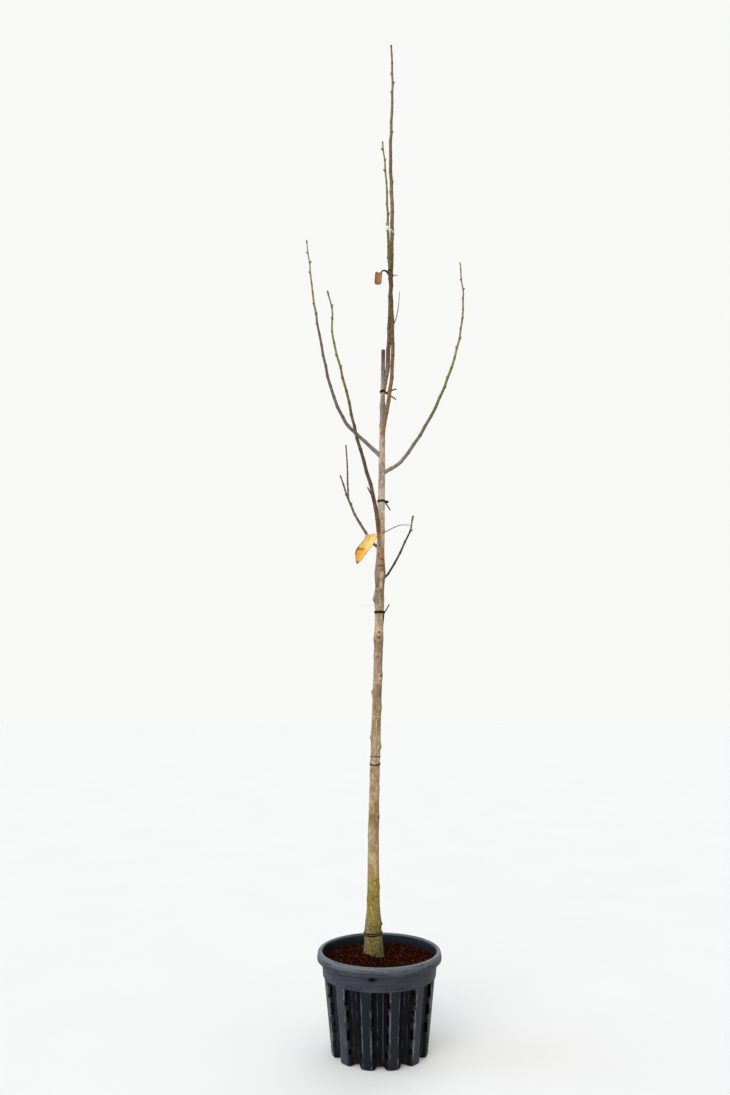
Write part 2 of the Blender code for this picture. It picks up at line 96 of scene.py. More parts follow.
# Knots: height, degrees round from +X, how far they stand out, half their length, how dark the scar is
KNOTS = (
    (0.46, 200, 0.004, 0.030, 0.7),
    (0.63, -30, 0.003, 0.016, 0.6),
    (0.74, -110, 0.0025, 0.020, 0.3),
    (0.91, -40, 0.004, 0.020, 0.8),
    (1.10, -130, 0.003, 0.020, 0.3),
    (1.20, 10, 0.003, 0.016, 0.3),
    (1.24, 170, 0.003, 0.016, 0.4),
    (1.42, 185, 0.004, 0.018, 0.5),
    (1.49, -35, 0.004, 0.020, 0.5),
    (1.66, -90, 0.005, 0.026, 1.0),
    (1.84, 175, 0.005, 0.022, 0.5),
    (2.00, 120, 0.003, 0.020, 0.4),
)
KNOT_SPREAD = 42
# Small bumps on the bark: height, degrees round, rise, half their length
BUMPS = (
    (1.195, 0, 0.0030, 0.0090),
    (1.232, 180, 0.0036, 0.0060),
    (1.425, 180, 0.0046, 0.0060),
    (1.662, -94, 0.0030, 0.0140),
    (0.486, -6, 0.0045, 0.0060),
    (0.58, 160, 0.0020, 0.014),
    (0.83, 175, 0.0015, 0.012),
    (1.02, 5, 0.0016, 0.014),
    (1.36, 0, 0.0022, 0.014),
    (1.58, 180, 0.0016, 0.012),
    (1.65, 178, 0.0022, 0.010),
    (1.72, -5, 0.0024, 0.014),
    (1.822, 182, 0.0070, 0.013),
    (2.13, 10, 0.0016, 0.012),
    (2.42, 170, 0.0014, 0.012),
    (2.60, 175, 0.0018, 0.014),
)
# Small dark scars of old buds: height, degrees round, half their length
SCARS = (
    (0.452, -128, 0.009),
    (0.470, -112, 0.007),
    (0.462, -66, 0.006),
    (0.488, -22, 0.009),
    (0.705, -80, 0.004),
    (0.800, -125, 0.005),
    (1.245, 172, 0.006),
    (1.315, -95, 0.007),
    (1.420, 178, 0.007),
    (1.494, -48, 0.009),
    (1.560, -120, 0.005),
    (1.648, 176, 0.005),
    (1.679, -88, 0.0100),
    (1.827, 182, 0.009),
    (1.806, -150, 0.006),
    (2.055, -102, 0.0075),
    (2.185, -128, 0.004),
    (2.400, -80, 0.004),
    (2.545, -100, 0.005),
    (2.690, 190, 0.006),
    (2.820, -105, 0.004),
    (0.62, 60, 0.008),
    (0.98, 95, 0.009),
    (1.34, 75, 0.008),
    (1.75, 110, 0.009),
    (2.25, 85, 0.007),
)
# Stained patches of bark: height, degrees round, half their height, half their width, slant, which stain
STAINS = (
    (0.472, -118, 0.018, 0.012, 0.0, "olive"),
    (0.466, -88, 0.014, 0.008, 0.0, "olive"),
    (0.460, -68, 0.010, 0.005, 0.0, "rust"),
    (0.482, -40, 0.014, 0.010, 0.0, "olive"),
    (0.715, -135, 0.006, 0.006, 0.0, "olive"),
    (0.742, -140, 0.008, 0.006, 0.0, "olive"),
    (0.912, -62, 0.014, 0.013, 0.0, "rust"),
    (1.100, -112, 0.016, 0.012, 0.0, "olive"),
    (1.290, -88, 0.030, 0.0022, 0.0, "pale"),
    (1.480, -62, 0.007, 0.009, 0.5, "pale"),
    (1.500, -40, 0.013, 0.004, 0.7, "rust"),
    (1.657, -96, 0.021, 0.017, 0.0, "rust"),
    (1.640, -75, 0.006, 0.008, 0.0, "rust"),
    (1.664, -92, 0.006, 0.005, 0.0, "pale"),
    (1.818, -160, 0.022, 0.014, 0.0, "olive"),
    (1.806, -115, 0.008, 0.008, 0.0, "olive"),
    (1.885, -75, 0.020, 0.008, 0.0, "pale"),
    (1.873, -48, 0.008, 0.013, 0.0, "rust"),
    (1.925, -72, 0.018, 0.010, 0.2, "pale"),
    (1.940, -60, 0.016, 0.012, 0.0, "rust"),
    (1.996, -80, 0.006, 0.013, -0.3, "rust"),
    (2.010, -118, 0.016, 0.008, 0.0, "olive"),
    (2.075, -112, 0.034, 0.005, 0.1, "rust"),
    (2.161, -88, 0.004, 0.0035, 0.0, "pale"),
    (2.560, -95, 0.012, 0.006, 0.0, "rust"),
)
# Rings round the trunk where a year's growth ended: height, half the ring's width, how dark, slant
YEAR_RINGS = (
    (0.505, 0.004, 0.35, 0.0),
    (0.655, 0.004, 0.75, 0.010),
    (0.775, 0.0025, 0.50, 0.0),
    (1.785, 0.003, 0.30, 0.0),
    (1.966, 0.0050, 1.00, 0.0),
    (2.690, 0.003, 0.60, 0.0),
)
# Pale rings of fresh bark: height and half the ring's width
PALE_RINGS = ((1.320, 0.0030), (1.462, 0.0040), (1.682, 0.0040), (1.868, 0.0030), (2.575, 0.0050))
# The foot of the left bough runs on down the bark: (height, degrees round) at both ends, and half its width
FOOT_RIDGE = ((2.120, -118), (1.990, -62))
FOOT_RIDGE_HALF = 0.0060
FOOT_RIDGE_RISE = 0.0018
BUTTRESSES = 4
BUTTRESS_RISE = 0.003
BUTTRESS_HEIGHT = 0.050
TRUNK_RING = 0.003
TRUNK_SIDES = 64

# Limbs, along the lines of the solids but mostly a little thicker: the points that one passes through,
# its diameters at foot, middle and tip, the swelling of its foot, its share of old wood, and its buds' seed
Limb = namedtuple("Limb", "name bough shoot via foot middle tip collar wood seed")
LIMBS = (
    Limb(
        "leader", "leader", "leader_shoot",
        ((0.022, 0.0, 2.750), (0.044, 0.0, 2.882), (0.068, 0.014, 3.593),
         (0.062, 0.020, 3.924), (0.073, 0.026, 4.283), (0.069, 0.030, 4.517)),
        0.0195, 0.0174, 0.0088, 0.25, 0.46, 11,
    ),
    Limb(
        "side", "side_bough", "side_shoot",
        ((0.019, -0.004, 2.555), (0.059, -0.044, 2.802), (0.065, -0.045, 3.063),
         (0.050, -0.039, 3.394), (0.040, -0.058, 3.741), (0.022, -0.075, 3.939)),
        0.0185, 0.0140, 0.0068, 0.30, 0.42, 12,
    ),
    Limb(
        "high_left", "high_left_bough", "high_left_shoot",
        ((0.017, 0.0, 2.455), (-0.042, 0.002, 2.511), (-0.104, 0.007, 2.571),
         (-0.153, 0.010, 2.630), (-0.214, 0.018, 2.786), (-0.263, 0.034, 3.017),
         (-0.300, 0.046, 3.240), (-0.317, 0.054, 3.390), (-0.334, 0.060, 3.521)),
        0.0170, 0.0120, 0.0053, 0.65, 0.46, 13,
    ),
    Limb(
        "high_right", "high_right_bough", "high_right_shoot",
        ((0.016, 0.0, 2.380), (0.102, 0.009, 2.438), (0.239, 0.040, 2.655),
         (0.325, 0.062, 2.856), (0.368, 0.078, 2.996), (0.394, 0.094, 3.130),
         (0.405, 0.112, 3.272), (0.400, 0.120, 3.340), (0.394, 0.130, 3.446)),
        0.0165, 0.0118, 0.0053, 0.40, 0.40, 14,
    ),
    Limb(
        "mid_left", "mid_left_bough", "mid_left_shoot",
        ((0.009, 0.0, 2.070), (-0.021, -0.044, 2.262), (-0.064, -0.080, 2.417),
         (-0.103, -0.108, 2.552), (-0.130, -0.140, 2.674), (-0.163, -0.170, 2.799),
         (-0.200, -0.210, 2.950), (-0.198, -0.232, 3.027), (-0.218, -0.268, 3.118)),
        0.0190, 0.0128, 0.0060, 0.20, 0.44, 15,
    ),
    Limb(
        "low_left", "low_left_bough", "low_left_shoot",
        ((0.009, 0.0, 2.045), (-0.024, 0.005, 2.069), (-0.111, 0.057, 2.223),
         (-0.173, 0.110, 2.401)),
        0.0126, 0.0110, 0.0062, 0.35, 0.50, 16,
    ),
    Limb(
        "low_right", "low_right_bough", "low_right_shoot",
        ((0.005, 0.0, 1.900), (0.045, -0.009, 1.935), (0.131, -0.066, 2.100),
         (0.150, -0.090, 2.176)),
        0.0096, 0.0088, 0.0070, 0.30, 0.42, 17,
    ),
)
LIMB_RING = 0.0025
LIMB_SIDES = 28
COLLAR_LENGTH = 0.022
END_BUD = 0.013
AIM = 0.005
CURVE_STEP = 0.005
INTERNODE = 0.052
KINK = 0.0016
NODE_SWELL = 0.0009
NODE_HALF = 0.005
BUD_TURN = 144
BUD_LENGTH = 0.0132
BUD_WIDTH = 0.0074
BUD_LEAN = 35

# Side twigs and bare leaf stalks, as in the solids: their points and their end diameters
Twig = namedtuple("Twig", "name via foot tip")
FORK_TWIG = Twig(
    "low_left_fork",
    ((-0.1335, 0.076, 2.284), (-0.137, 0.086, 2.354), (-0.139, 0.090, 2.438), (-0.145, 0.088, 2.526)),
    0.0088, 0.0056,
)
SPUR_TWIG = Twig(
    "mid_left_spur", ((-0.0210, -0.0430, 2.256), (-0.0320, -0.0480, 2.276), (-0.0430, -0.0500, 2.298)),
    0.0074, 0.0050,
)
STALKS = (
    Twig(
        "low_leaf_stalk",
        ((0.0200, -0.012, 2.110), (0.062, -0.020, 2.131), (0.098, -0.030, 2.143), (0.138, -0.040, 2.141)),
        0.0042, 0.0026,
    ),
    Twig(
        "high_leaf_stalk",
        ((0.0680, -0.046, 3.050), (0.084, -0.050, 3.095), (0.093, -0.052, 3.150), (0.098, -0.050, 3.212)),
        0.0044, 0.0028,
    ),
)

# Leaves, within a few millimetres of the solids: the stalk's points and diameters, the blade's base and end,
# its half widths on both sides along it, its slant, fold, sag and thickness, and its twist in degrees
Leaf = namedtuple("Leaf", "name stalk stalk_foot stalk_tip base end outline slant fold sag thick twist")
YELLOW_LEAF = Leaf(
    "yellow_leaf", ((-0.0120, -0.0215, 2.096), (-0.022, -0.031, 2.104), (-0.034, -0.036, 2.094)),
    0.0030, 0.0018,
    (-0.0235, -0.0340, 2.103), (-0.0935, -0.0460, 1.969),
    ((0.0, 0.0310, 0.0170), (0.10, 0.0290, 0.0220), (0.25, 0.0255, 0.0245), (0.40, 0.0290, 0.0235),
     (0.60, 0.0330, 0.0190), (0.74, 0.0310, 0.0150), (0.86, 0.0190, 0.0110), (0.95, 0.0085, 0.0055),
     (1.0, 0.0020, 0.0020)), 0.62,
    26, 0.012, 0.0009, 20,
)
DRY_LEAF = Leaf(
    "dry_leaf", ((0.0480, -0.0495, 3.297), (0.0400, -0.0520, 3.308), (0.0290, -0.0570, 3.311),
                 (0.0190, -0.0610, 3.306), (0.0110, -0.0640, 3.290)), 0.0110, 0.0052,
    (0.003, -0.062, 3.299), (0.000, -0.068, 3.236),
    ((0.0, 0.0120, 0.0130), (0.08, 0.0160, 0.0170), (0.50, 0.0165, 0.0165), (0.90, 0.0160, 0.0160),
     (1.0, 0.0110, 0.0110)), 0.0,
    20, 0.006, 0.0009, 12,
)

LEAF_CELLS = (44, 28)
LEAF_VEINS = 9

# Wire ties round the trunk: height, wire diameter, turns, rise from turn to turn, how much lower each
# turn's front hangs, where the loose ends point from the trunk's right edge, and whether a knot sits there
Tie = namedtuple("Tie", "name height wire turns pitch dip tails knot")
TIES = (
    Tie("tie_foot", 0.448, 0.0046, 2, 0.0075, 0.0, (), False),
    Tie("tie_low", 1.125, 0.0027, 2, 0.0040, 0.0050, (), False),
    Tie("tie_low_upper", 1.156, 0.0027, 1, 0.0010, 0.0, (), False),
    Tie(
        "tie_knuckle", 1.765, 0.0032, 4, 0.0026, 0.0,
        ((0.024, -0.004, 0.040), (-0.003, -0.006, -0.038)), False,
    ),
    Tie("tie_middle", 2.254, 0.0034, 3, 0.0030, -0.001, ((0.022, -0.008, -0.036),), True),
    Tie("tie_stub", 2.758, 0.0038, 3, 0.0036, 0.0, ((0.050, 0.022, 0.026), (0.048, 0.024, -0.022)), False),
)
TWISTS = 5
TWIST_REACH = 0.0018
KNOT_REACH = 0.0042

# Ties round the side bough and the leader together: height, thickness and turns
PAIR_TIE = (3.319, 0.0034, 2)
STRING_TIE = (3.520, 0.0036, 4)
STRING_TAILS = ((-0.052, -0.004, 0.026), (-0.040, -0.008, 0.012))
STRAND_RADIUS = 0.0005
THREAD_HEIGHT = 1.7965

# Pot: heights and radii of its wall
POT_HEIGHT = 0.388
LIP_FOOT = 0.352
FLUTE_TOP = 0.292
GROOVE_FOOT = 0.012
SOLE_EDGE = 0.007
INNER_FOOT = 0.009
LIP_RADIUS = 0.2535
MOUTH_RADIUS = 0.2328
COLLAR_TOP_RADIUS = 0.2345
COLLAR_FOOT_RADIUS = 0.230
FLUTE_TOP_RADIUS = 0.2265
FLUTE_FOOT_RADIUS = 0.1945
SOLE_RADIUS = 0.150
WALL = 0.0035
LINING = 1.7 * WALL
POT_SHARP = 38
FLUTE_STEPS = 44
FLUTE_ROUNDING = 0.010
LOBES = 12
GROOVE_DEPTH = 0.021
RIB_DEPTH = 0.017
HALF_LOBE = ((0.0, 0.0), (4.4, 0.0), (5.4, 0.004), (8.6, GROOVE_DEPTH), (11.6, RIB_DEPTH), (15.0, RIB_DEPTH))
# At the floor each lobe is broader: half of one there, and how far up the pot that reaches
HALF_FOOT = ((0.0, 0.0), (6.0, 0.0), (8.2, 0.003), (10.6, 0.010), (12.4, 0.0165), (15.0, RIB_DEPTH))
BROAD_REACH = 0.110
LOBE_ROUNDING = 0.9
LOBE_EDGE = (3.0, 10.5)
LOBE_POINTS = 60
# How dusty each lobe is, with a painted reflection in it that darkens the lobes facing the front and
# lightens the side lobes, and where the painted highlights on the corners of lobes and ribs lie, in degrees
# from a lobe's middle
LOBE_DUST_AND_REFLECTION = (0.6, 0.8, 0.5, 0.7, 0.9, 0.6, 0.8, 1.0, 0.20, 0.26, 0.85, 0.7)
EDGE_HIGHLIGHTS = ((4.9, 0.8, 0.9), (11.9, 0.5, 0.35))
SLOT_ROWS = ((0.046, 0.063), (0.097, 0.134), (0.164, 0.206), (0.230, 0.280))
SLOT_WIDTH = 0.012
SLOT_REACH = 0.020
SLOT_DEGREES = 6.7
SLOT_DEPTH = 0.011

# Compost: level at the wall and at the trunk, and what lies on it
SOIL_LEVEL = 0.350
SOIL_MOUND = 0.360
SOIL_CLEAR = 0.0003
HEAPED = 0.022
HEAP_PLACE = (-0.040, -0.020)
HEAP_HALF = 0.042
MOUND_HALF = 0.10
CHIPS = (
    ("dark_chips", 26000, 0.0100, 21),
    ("red_chips", 10000, 0.0095, 22),
    ("tan_chips", 1500, 0.0080, 24),
    ("pale_crumbs", 1100, 0.0062, 23),
)
CHIP_SHAPES = 5
CHIP_SEED = 31

# Roots that show in the slots
ROOTS = 170
ROOT_RADIUS = 0.0010
ROOT_STEPS = 14
ROOT_SEED = 41

# A splash of earth on the collar's front: bearing, height, reach and number of crumbs
SPLASH_TURN = math.radians(-97.9)
SPLASH_HEIGHT = 0.346
SPLASH_REACH = 0.0125
SPLASH_CRUMBS = 420
SPLASH_CRUMB = 0.005
SPLASH_SEED = 53

# Bark: depths of its relief
TRUNK_RELIEF = 0.00045
LIMB_RELIEF = 0.00035

# Soft studio lamps: the way that each shines, its strength, how many degrees wide it is, and its colour
LAMPS = (
    ("key_lamp", (0.40, 0.90, -0.60), 2.55, 50, (1.0, 0.96, 0.91)),
    ("left_lamp", (0.95, 0.0, -0.28), 1.7, 50, (0.68, 0.86, 1.0)),
    ("right_lamp", (-0.90, 0.45, -0.30), 0.5, 60, (1.0, 0.90, 0.78)),
    ("back_lamp", (-0.30, -0.90, -0.60), 1.2, 60, (1.0, 1.0, 1.0)),
    ("top_lamp", (0.0, 0.05, -1.0), 0.8, 60, (1.0, 1.0, 1.0)),
)
WALL_LIGHT = 0.942
ROOM_LIGHT = 0.55
ROOM_COLOUR = (1.0, 1.0, 0.988, 1.0)
FLOOR_GLOW = 0.122
FLOOR_REACH = 30.0

# Colours of the trunk's bark by height
TRUNK_COLOURS = (
    (0.365, (0.020, 0.010, 0.005)),
    (0.400, (0.100, 0.075, 0.020)),
    (0.430, (0.170, 0.138, 0.055)),
    (0.475, (0.160, 0.118, 0.030)),
    (0.52, (0.250, 0.200, 0.045)),
    (0.60, (0.205, 0.155, 0.018)),
    (0.655, (0.280, 0.222, 0.050)),
    (0.70, (0.360, 0.275, 0.125)),
    (0.82, (0.335, 0.255, 0.140)),
    (0.91, (0.270, 0.175, 0.078)),
    (0.96, (0.360, 0.258, 0.150)),
    (1.15, (0.410, 0.315, 0.215)),
    (1.25, (0.340, 0.262, 0.175)),
    (1.30, (0.245, 0.182, 0.088)),
    (1.35, (0.300, 0.225, 0.130)),
    (1.42, (0.250, 0.172, 0.100)),
    (1.50, (0.340, 0.248, 0.165)),
    (1.56, (0.245, 0.182, 0.118)),
    (1.60, (0.290, 0.225, 0.145)),
    (1.66, (0.205, 0.145, 0.080)),
    (1.69, (0.420, 0.330, 0.235)),
    (1.78, (0.380, 0.298, 0.205)),
    (1.86, (0.165, 0.122, 0.076)),
    (1.95, (0.240, 0.160, 0.105)),
    (2.03, (0.360, 0.250, 0.135)),
    (2.10, (0.460, 0.355, 0.240)),
    (2.22, (0.490, 0.445, 0.360)),
    (2.38, (0.340, 0.275, 0.220)),
    (2.48, (0.400, 0.335, 0.260)),
    (2.60, (0.240, 0.205, 0.170)),
    (2.80, (0.340, 0.305, 0.280)),
    (2.93, (0.120, 0.072, 0.060)),
)

# Colours that materials start from
PLASTIC = (0.002, 0.003, 0.007)
# Dust on the plastic, also the lighter tone of a painted reflection on the side lobes
PLASTIC_DUST_AND_REFLECTION = (0.046, 0.051, 0.064)
EARTH = (0.004, 0.0010, 0.0006)


class Socket:
    """A node's output that takes part in sums: each operator adds a Math node."""

    def __init__(self, graph, output):
        self.graph = graph
        self.output = output

    def __add__(self, other):
        return self.graph.math("ADD", self, other)

    __radd__ = __add__

    def __sub__(self, other):
        return self.graph.math("SUBTRACT", self, other)

    def __rsub__(self, other):
        return self.graph.math("SUBTRACT", other, self)

    def __mul__(self, other):
        return self.graph.math("MULTIPLY", self, other)

    __rmul__ = __mul__


class Graph:
    """Adds nodes to one tree of nodes."""

    def __init__(self, tree):
        self.tree = tree

    def node(self, kind, settings=None, sockets=None, out=0):
        """A node: its settings first, then its sockets, each a value or another node's output."""
        made = self.tree.nodes.new(kind)
        for name, value in (settings or {}).items():
            if name == "stops":
                self.set_stops(made.color_ramp, value)
            else:
                setattr(made, name, value)
        for key, value in (sockets or {}).items():
            self.feed(made.inputs[key], value)
        return Socket(self, made.outputs[out])

    def feed(self, entry, value):
        if isinstance(value, Socket):
            self.tree.links.new(value.output, entry)
        else:
            entry.default_value = value

    def set_stops(self, ramp, stops):
        while len(ramp.elements) < len(stops):
            ramp.elements.new(1.0)
        for element, (place, colour) in zip(ramp.elements, stops):
            element.position = place
            element.color = (*colour, 1.0)

    def math(self, operation, first, second):
        return self.node("ShaderNodeMath", {"operation": operation}, {0: first, 1: second})


class Finish(Graph):
    """A Principled material whose varying values its nodes work out."""

    def __init__(self, name, **constants):
        self.material = bpy.data.materials.new(name)
        self.material.use_nodes = True
        super().__init__(self.material.node_tree)
        self.shader = self.tree.nodes["Principled BSDF"]
        for socket, value in constants.items():
            self.shader.inputs[socket.replace("_", " ").title().replace("Ior", "IOR")].default_value = value
        self.place = self.node("ShaderNodeTexCoord", out="Object")

    def height(self):
        return self.node("ShaderNodeSeparateXYZ", None, {0: self.place}, "Z")

    def attribute(self, name):
        return self.node("ShaderNodeAttribute", {"attribute_name": name}, None, "Fac")

    def stretched(self, stretch):
        """Object coordinates multiplied by a stretch along each axis."""
        return self.node("ShaderNodeVectorMath", {"operation": "MULTIPLY"}, {0: self.place, 1: stretch})

    def clouds(self, scale, detail=3.0, rough=0.55, stretch=(1, 1, 1)):
        sockets = {"Vector": self.stretched(stretch), "Scale": scale, "Detail": detail, "Roughness": rough}
        return self.node("ShaderNodeTexNoise", None, sockets)

    def cells(self, scale, stretch=(1, 1, 1)):
        sockets = {"Vector": self.stretched(stretch), "Scale": scale}
        return self.node("ShaderNodeTexVoronoi", None, sockets)

    def step(self, value, low, high):
        """0 where the value is under low, 1 over high, and a smooth rise between."""
        sockets = {"Value": value, "From Min": low, "From Max": high}
        settings = {"interpolation_type": "SMOOTHSTEP", "clamp": True}
        return self.node("ShaderNodeMapRange", settings, sockets)

    def ramp(self, value, stops):
        return self.node("ShaderNodeValToRGB", {"stops": stops}, {0: value})

    def mix(self, factor, first, second, blend="MIX"):
        """Two colours, mixed by a factor."""
        settings = {"data_type": "RGBA", "blend_type": blend}
        return self.node("ShaderNodeMix", settings, {0: factor, 6: colour4(first), 7: colour4(second)}, 2)

    def tinted(self, colour, tint):
        return self.mix(1.0, colour, tint, "MULTIPLY")

    def dress(self, colour, roughness=None, bump=None, depth=0.001, strength=1.0):
        """Link the colour, the roughness and the relief to the shader."""
        self.feed(self.shader.inputs["Base Color"], colour)
        if roughness is not None:
            self.feed(self.shader.inputs["Roughness"], roughness)
        if bump is not None:
            sockets = {"Height": bump, "Distance": depth, "Strength": strength}
            relief = self.node("ShaderNodeBump", None, sockets)
            self.feed(self.shader.inputs["Normal"], relief)
        return self.material


def colour4(colour):
    return colour if isinstance(colour, Socket) or len(colour) == 4 else (*colour, 1.0)


def plastic_finish():
    """Bluish-black plastic, dusty on its collar and its lobes' faces, with scuffs and splashes of earth, a
    painted reflection that lightens the side lobes, painted shade in the grooves and inside, and painted
    highlights on the lobes' corners and the lip.
    """
    made = Finish("pot_plastic", roughness=0.40, specular_ior_level=0.10)
    height = made.height()
    patches = made.step(made.clouds(7, 5, 0.65), 0.36, 0.72)
    scuffs = made.step(made.clouds(11, 5, 0.7, (1, 1, 22)), 0.47, 0.66)
    collar = made.step(height, FLUTE_TOP - 0.004, FLUTE_TOP + 0.004)
    face = made.math("MAXIMUM", made.attribute("proud"), collar)
    marks = made.step(made.clouds(95, 3, 0.6, (1, 1, 0.35)), 0.58, 0.72)
    # Dust and scuffs, with a painted reflection by lobe: the side lobes lighter, the two front lobes darker
    worn = (patches * 0.25 + marks * 0.25 + 0.55) * face * made.attribute("dust") + scuffs * collar * 0.35
    colour = made.mix(worn, PLASTIC, PLASTIC_DUST_AND_REFLECTION)
    # Painted shade: the grooves, their flanks and ribs darkened nearly to black
    colour = made.mix((1 - face) * 0.93, colour, (0.0006, 0.0006, 0.0016))
    broken = made.step(made.clouds(60, 4, 0.7, (1, 1, 0.25)), 0.44, 0.58)
    # Painted highlight: thin pale lines on the corners of lobes and ribs, broken up by noise
    colour = made.mix(made.attribute("rubbed") * broken * 0.75, colour, (0.150, 0.160, 0.185))
    rim = made.step(height, LIP_FOOT + 0.004, POT_HEIGHT)
    # Painted highlight: the lip lightened to a pale bluish grey
    colour = made.mix(rim * 0.65, colour, (0.125, 0.138, 0.160))
    streaks = made.step(made.clouds(9, 4, 0.7, (1, 1, 16)), 0.53, 0.62) * collar
    colour = made.mix(streaks * 0.75, colour, (0.003, 0.004, 0.010))
    splashes = made.step(made.clouds(48, 4, 0.65), 0.60, 0.68)
    earth = splashes * (1 - made.step(height, 0.02, 0.16)) + splashes * rim * 0.5
    colour = made.mix(earth * 0.45, colour, (0.030, 0.018, 0.012))
    # Painted shade: the pot's inside wall darkened
    colour = made.mix(made.attribute("inside") * 0.85, colour, (0.0030, 0.0035, 0.0055))
    roughness = 0.38 + patches * 0.16 + scuffs * collar * 0.15 + (1 - face) * 0.3
    relief = made.clouds(900, 2, 0.5) * 0.3 + scuffs * collar * 0.3 + made.clouds(26, 2, 0.5)
    return made.dress(colour, roughness, relief, 0.0007, 0.4)


def compost_finish(name, dark, light, scale=160):
    """Crumbly bark and peat between two browns; below the soil line a painted shade darkens it nearly to
    black.
    """
    made = Finish(name, roughness=0.95, specular_ior_level=0.0)
    grains = made.cells(scale)
    patches = made.clouds(24, 3, 0.6)
    shade = made.step(patches * 0.7 + grains * 0.5, 0.30, 0.72)
    # Painted shade: compost below the soil line darkened nearly to black
    deep_shade = 1 - made.step(made.height(), SOIL_LEVEL - 0.05, SOIL_LEVEL - 0.03)
    colour = made.mix(deep_shade * 0.80, made.mix(shade, dark, light), (0.0008, 0.0005, 0.0004))
    return made.dress(colour, None, grains, 0.004, 0.9)


def root_finish():
    """Pale brown fibres, green with algae here and there."""
    made = Finish("root_fibre", roughness=0.85)
    tone = made.step(made.clouds(26, 3, 0.6), 0.35, 0.65)
    green = made.step(made.clouds(11, 2, 0.5), 0.55, 0.68)
    colour = made.mix(tone, (0.008, 0.005, 0.004), (0.075, 0.048, 0.022))
    colour = made.mix(green * 0.8, colour, (0.150, 0.130, 0.030))
    return made.dress(colour, None, made.clouds(400, 2, 0.5, (1, 1, 0.2)), 0.0008, 0.6)


def trunk_finish():
    """Walnut bark, olive with algae at the foot, beige above it and silver grey past the knuckle."""
    made = Finish("trunk_bark", roughness=0.80, specular_ior_level=0.22)
    height = made.height()
    span = TRUNK_TOP - TRUNK_FOOT
    drift = made.clouds(7, 3, 0.6, (1, 1, 0.7)) * 0.024 - 0.012
    stops = [((level - TRUNK_FOOT) / span, colour) for level, colour in TRUNK_COLOURS]
    base = made.ramp((height - TRUNK_FOOT) * (1 / span) + drift, stops)
    patches = made.step(made.clouds(42, 4, 0.65, (1, 1, 0.40)), 0.42, 0.60)
    colour = made.mix(patches * 0.60, base, made.tinted(base, (0.50, 0.42, 0.33)))
    mottle = made.step(made.clouds(150, 4, 0.7, (1, 1, 0.5)), 0.40, 0.62)
    colour = made.mix(mottle * 0.56, colour, made.tinted(colour, (0.52, 0.45, 0.38)))
    light = made.step(made.clouds(66, 4, 0.65, (1, 1, 0.6)), 0.55, 0.68)
    colour = made.mix(light * 0.52, colour, made.tinted(base, (1.75, 1.75, 1.85)))
    streaks = made.step(made.clouds(120, 3, 0.6, (1, 1, 0.10)), 0.55, 0.72)
    colour = made.mix(streaks * 0.45, colour, made.tinted(colour, (0.55, 0.46, 0.36)))
    low = 1 - made.step(height, 0.60, 0.70)
    algae = low * made.step(made.clouds(34, 4, 0.7), 0.42, 0.60)
    colour = made.mix(algae * 0.45, colour, (0.150, 0.120, 0.014))
    crusts = low * made.step(made.clouds(150, 3, 0.7), 0.52, 0.62)
    colour = made.mix(crusts * 0.42, colour, (0.430, 0.375, 0.180))
    foot = 1 - made.step(height, 0.48, 0.52)
    specks = foot * made.step(made.clouds(170, 3, 0.75), 0.54, 0.60)
    colour = made.mix(specks * 0.85, colour, (0.040, 0.028, 0.008))
    pits = 1 - made.step(made.cells(125, (1, 1, 0.7)), 0.13, 0.30)
    rarely = made.step(made.clouds(40, 2, 0.5) + low * 0.12, 0.50, 0.60)
    colour = made.mix(pits * rarely * 0.85, colour, (0.035, 0.022, 0.010))
    lenticels = 1 - made.step(made.cells(100, (0.6, 0.6, 2.0)), 0.13, 0.27)
    upper = made.step(height, 2.02, 2.20) * (1 - made.step(height, 2.60, 2.72))
    colour = made.mix(lenticels * upper * 0.7, colour, (0.560, 0.510, 0.430))
    dead = made.step(height, 2.86, 2.95)
    colour = made.mix(dead * 0.6, colour, (0.075, 0.034, 0.026))
    brown = made.attribute("brown")
    colour = made.mix(brown * 0.80, colour, (0.125, 0.048, 0.018))
    stipple = made.step(made.clouds(210, 3, 0.7), 0.42, 0.56)
    olive = made.attribute("olive")
    colour = made.mix(olive * 0.45, colour, (0.200, 0.150, 0.045))
    colour = made.mix(olive * stipple * 0.80, colour, (0.050, 0.034, 0.010))
    rust = made.attribute("rust")
    colour = made.mix(rust * 0.62, colour, (0.270, 0.125, 0.032))
    colour = made.mix(rust * stipple * 0.82, colour, (0.055, 0.022, 0.008))
    callus = made.attribute("callus")
    pale = made.mix(low, (0.560, 0.450, 0.320), (0.330, 0.265, 0.085))
    colour = made.mix(callus * 0.60, colour, pale)
    scar = made.attribute("scar")
    frayed = made.step(scar + made.clouds(110, 3, 0.7) * 0.9 - 0.45, 0.30, 0.62)
    colour = made.mix(frayed * 0.92, colour, (0.028, 0.014, 0.007))
    relief = made.clouds(150, 4, 0.65, (1, 1, 0.35)) + light * 0.3 - pits * rarely * 0.8 - streaks * 0.4
    return made.dress(colour, 0.74 + patches * 0.14, relief, 0.0020, 0.85)


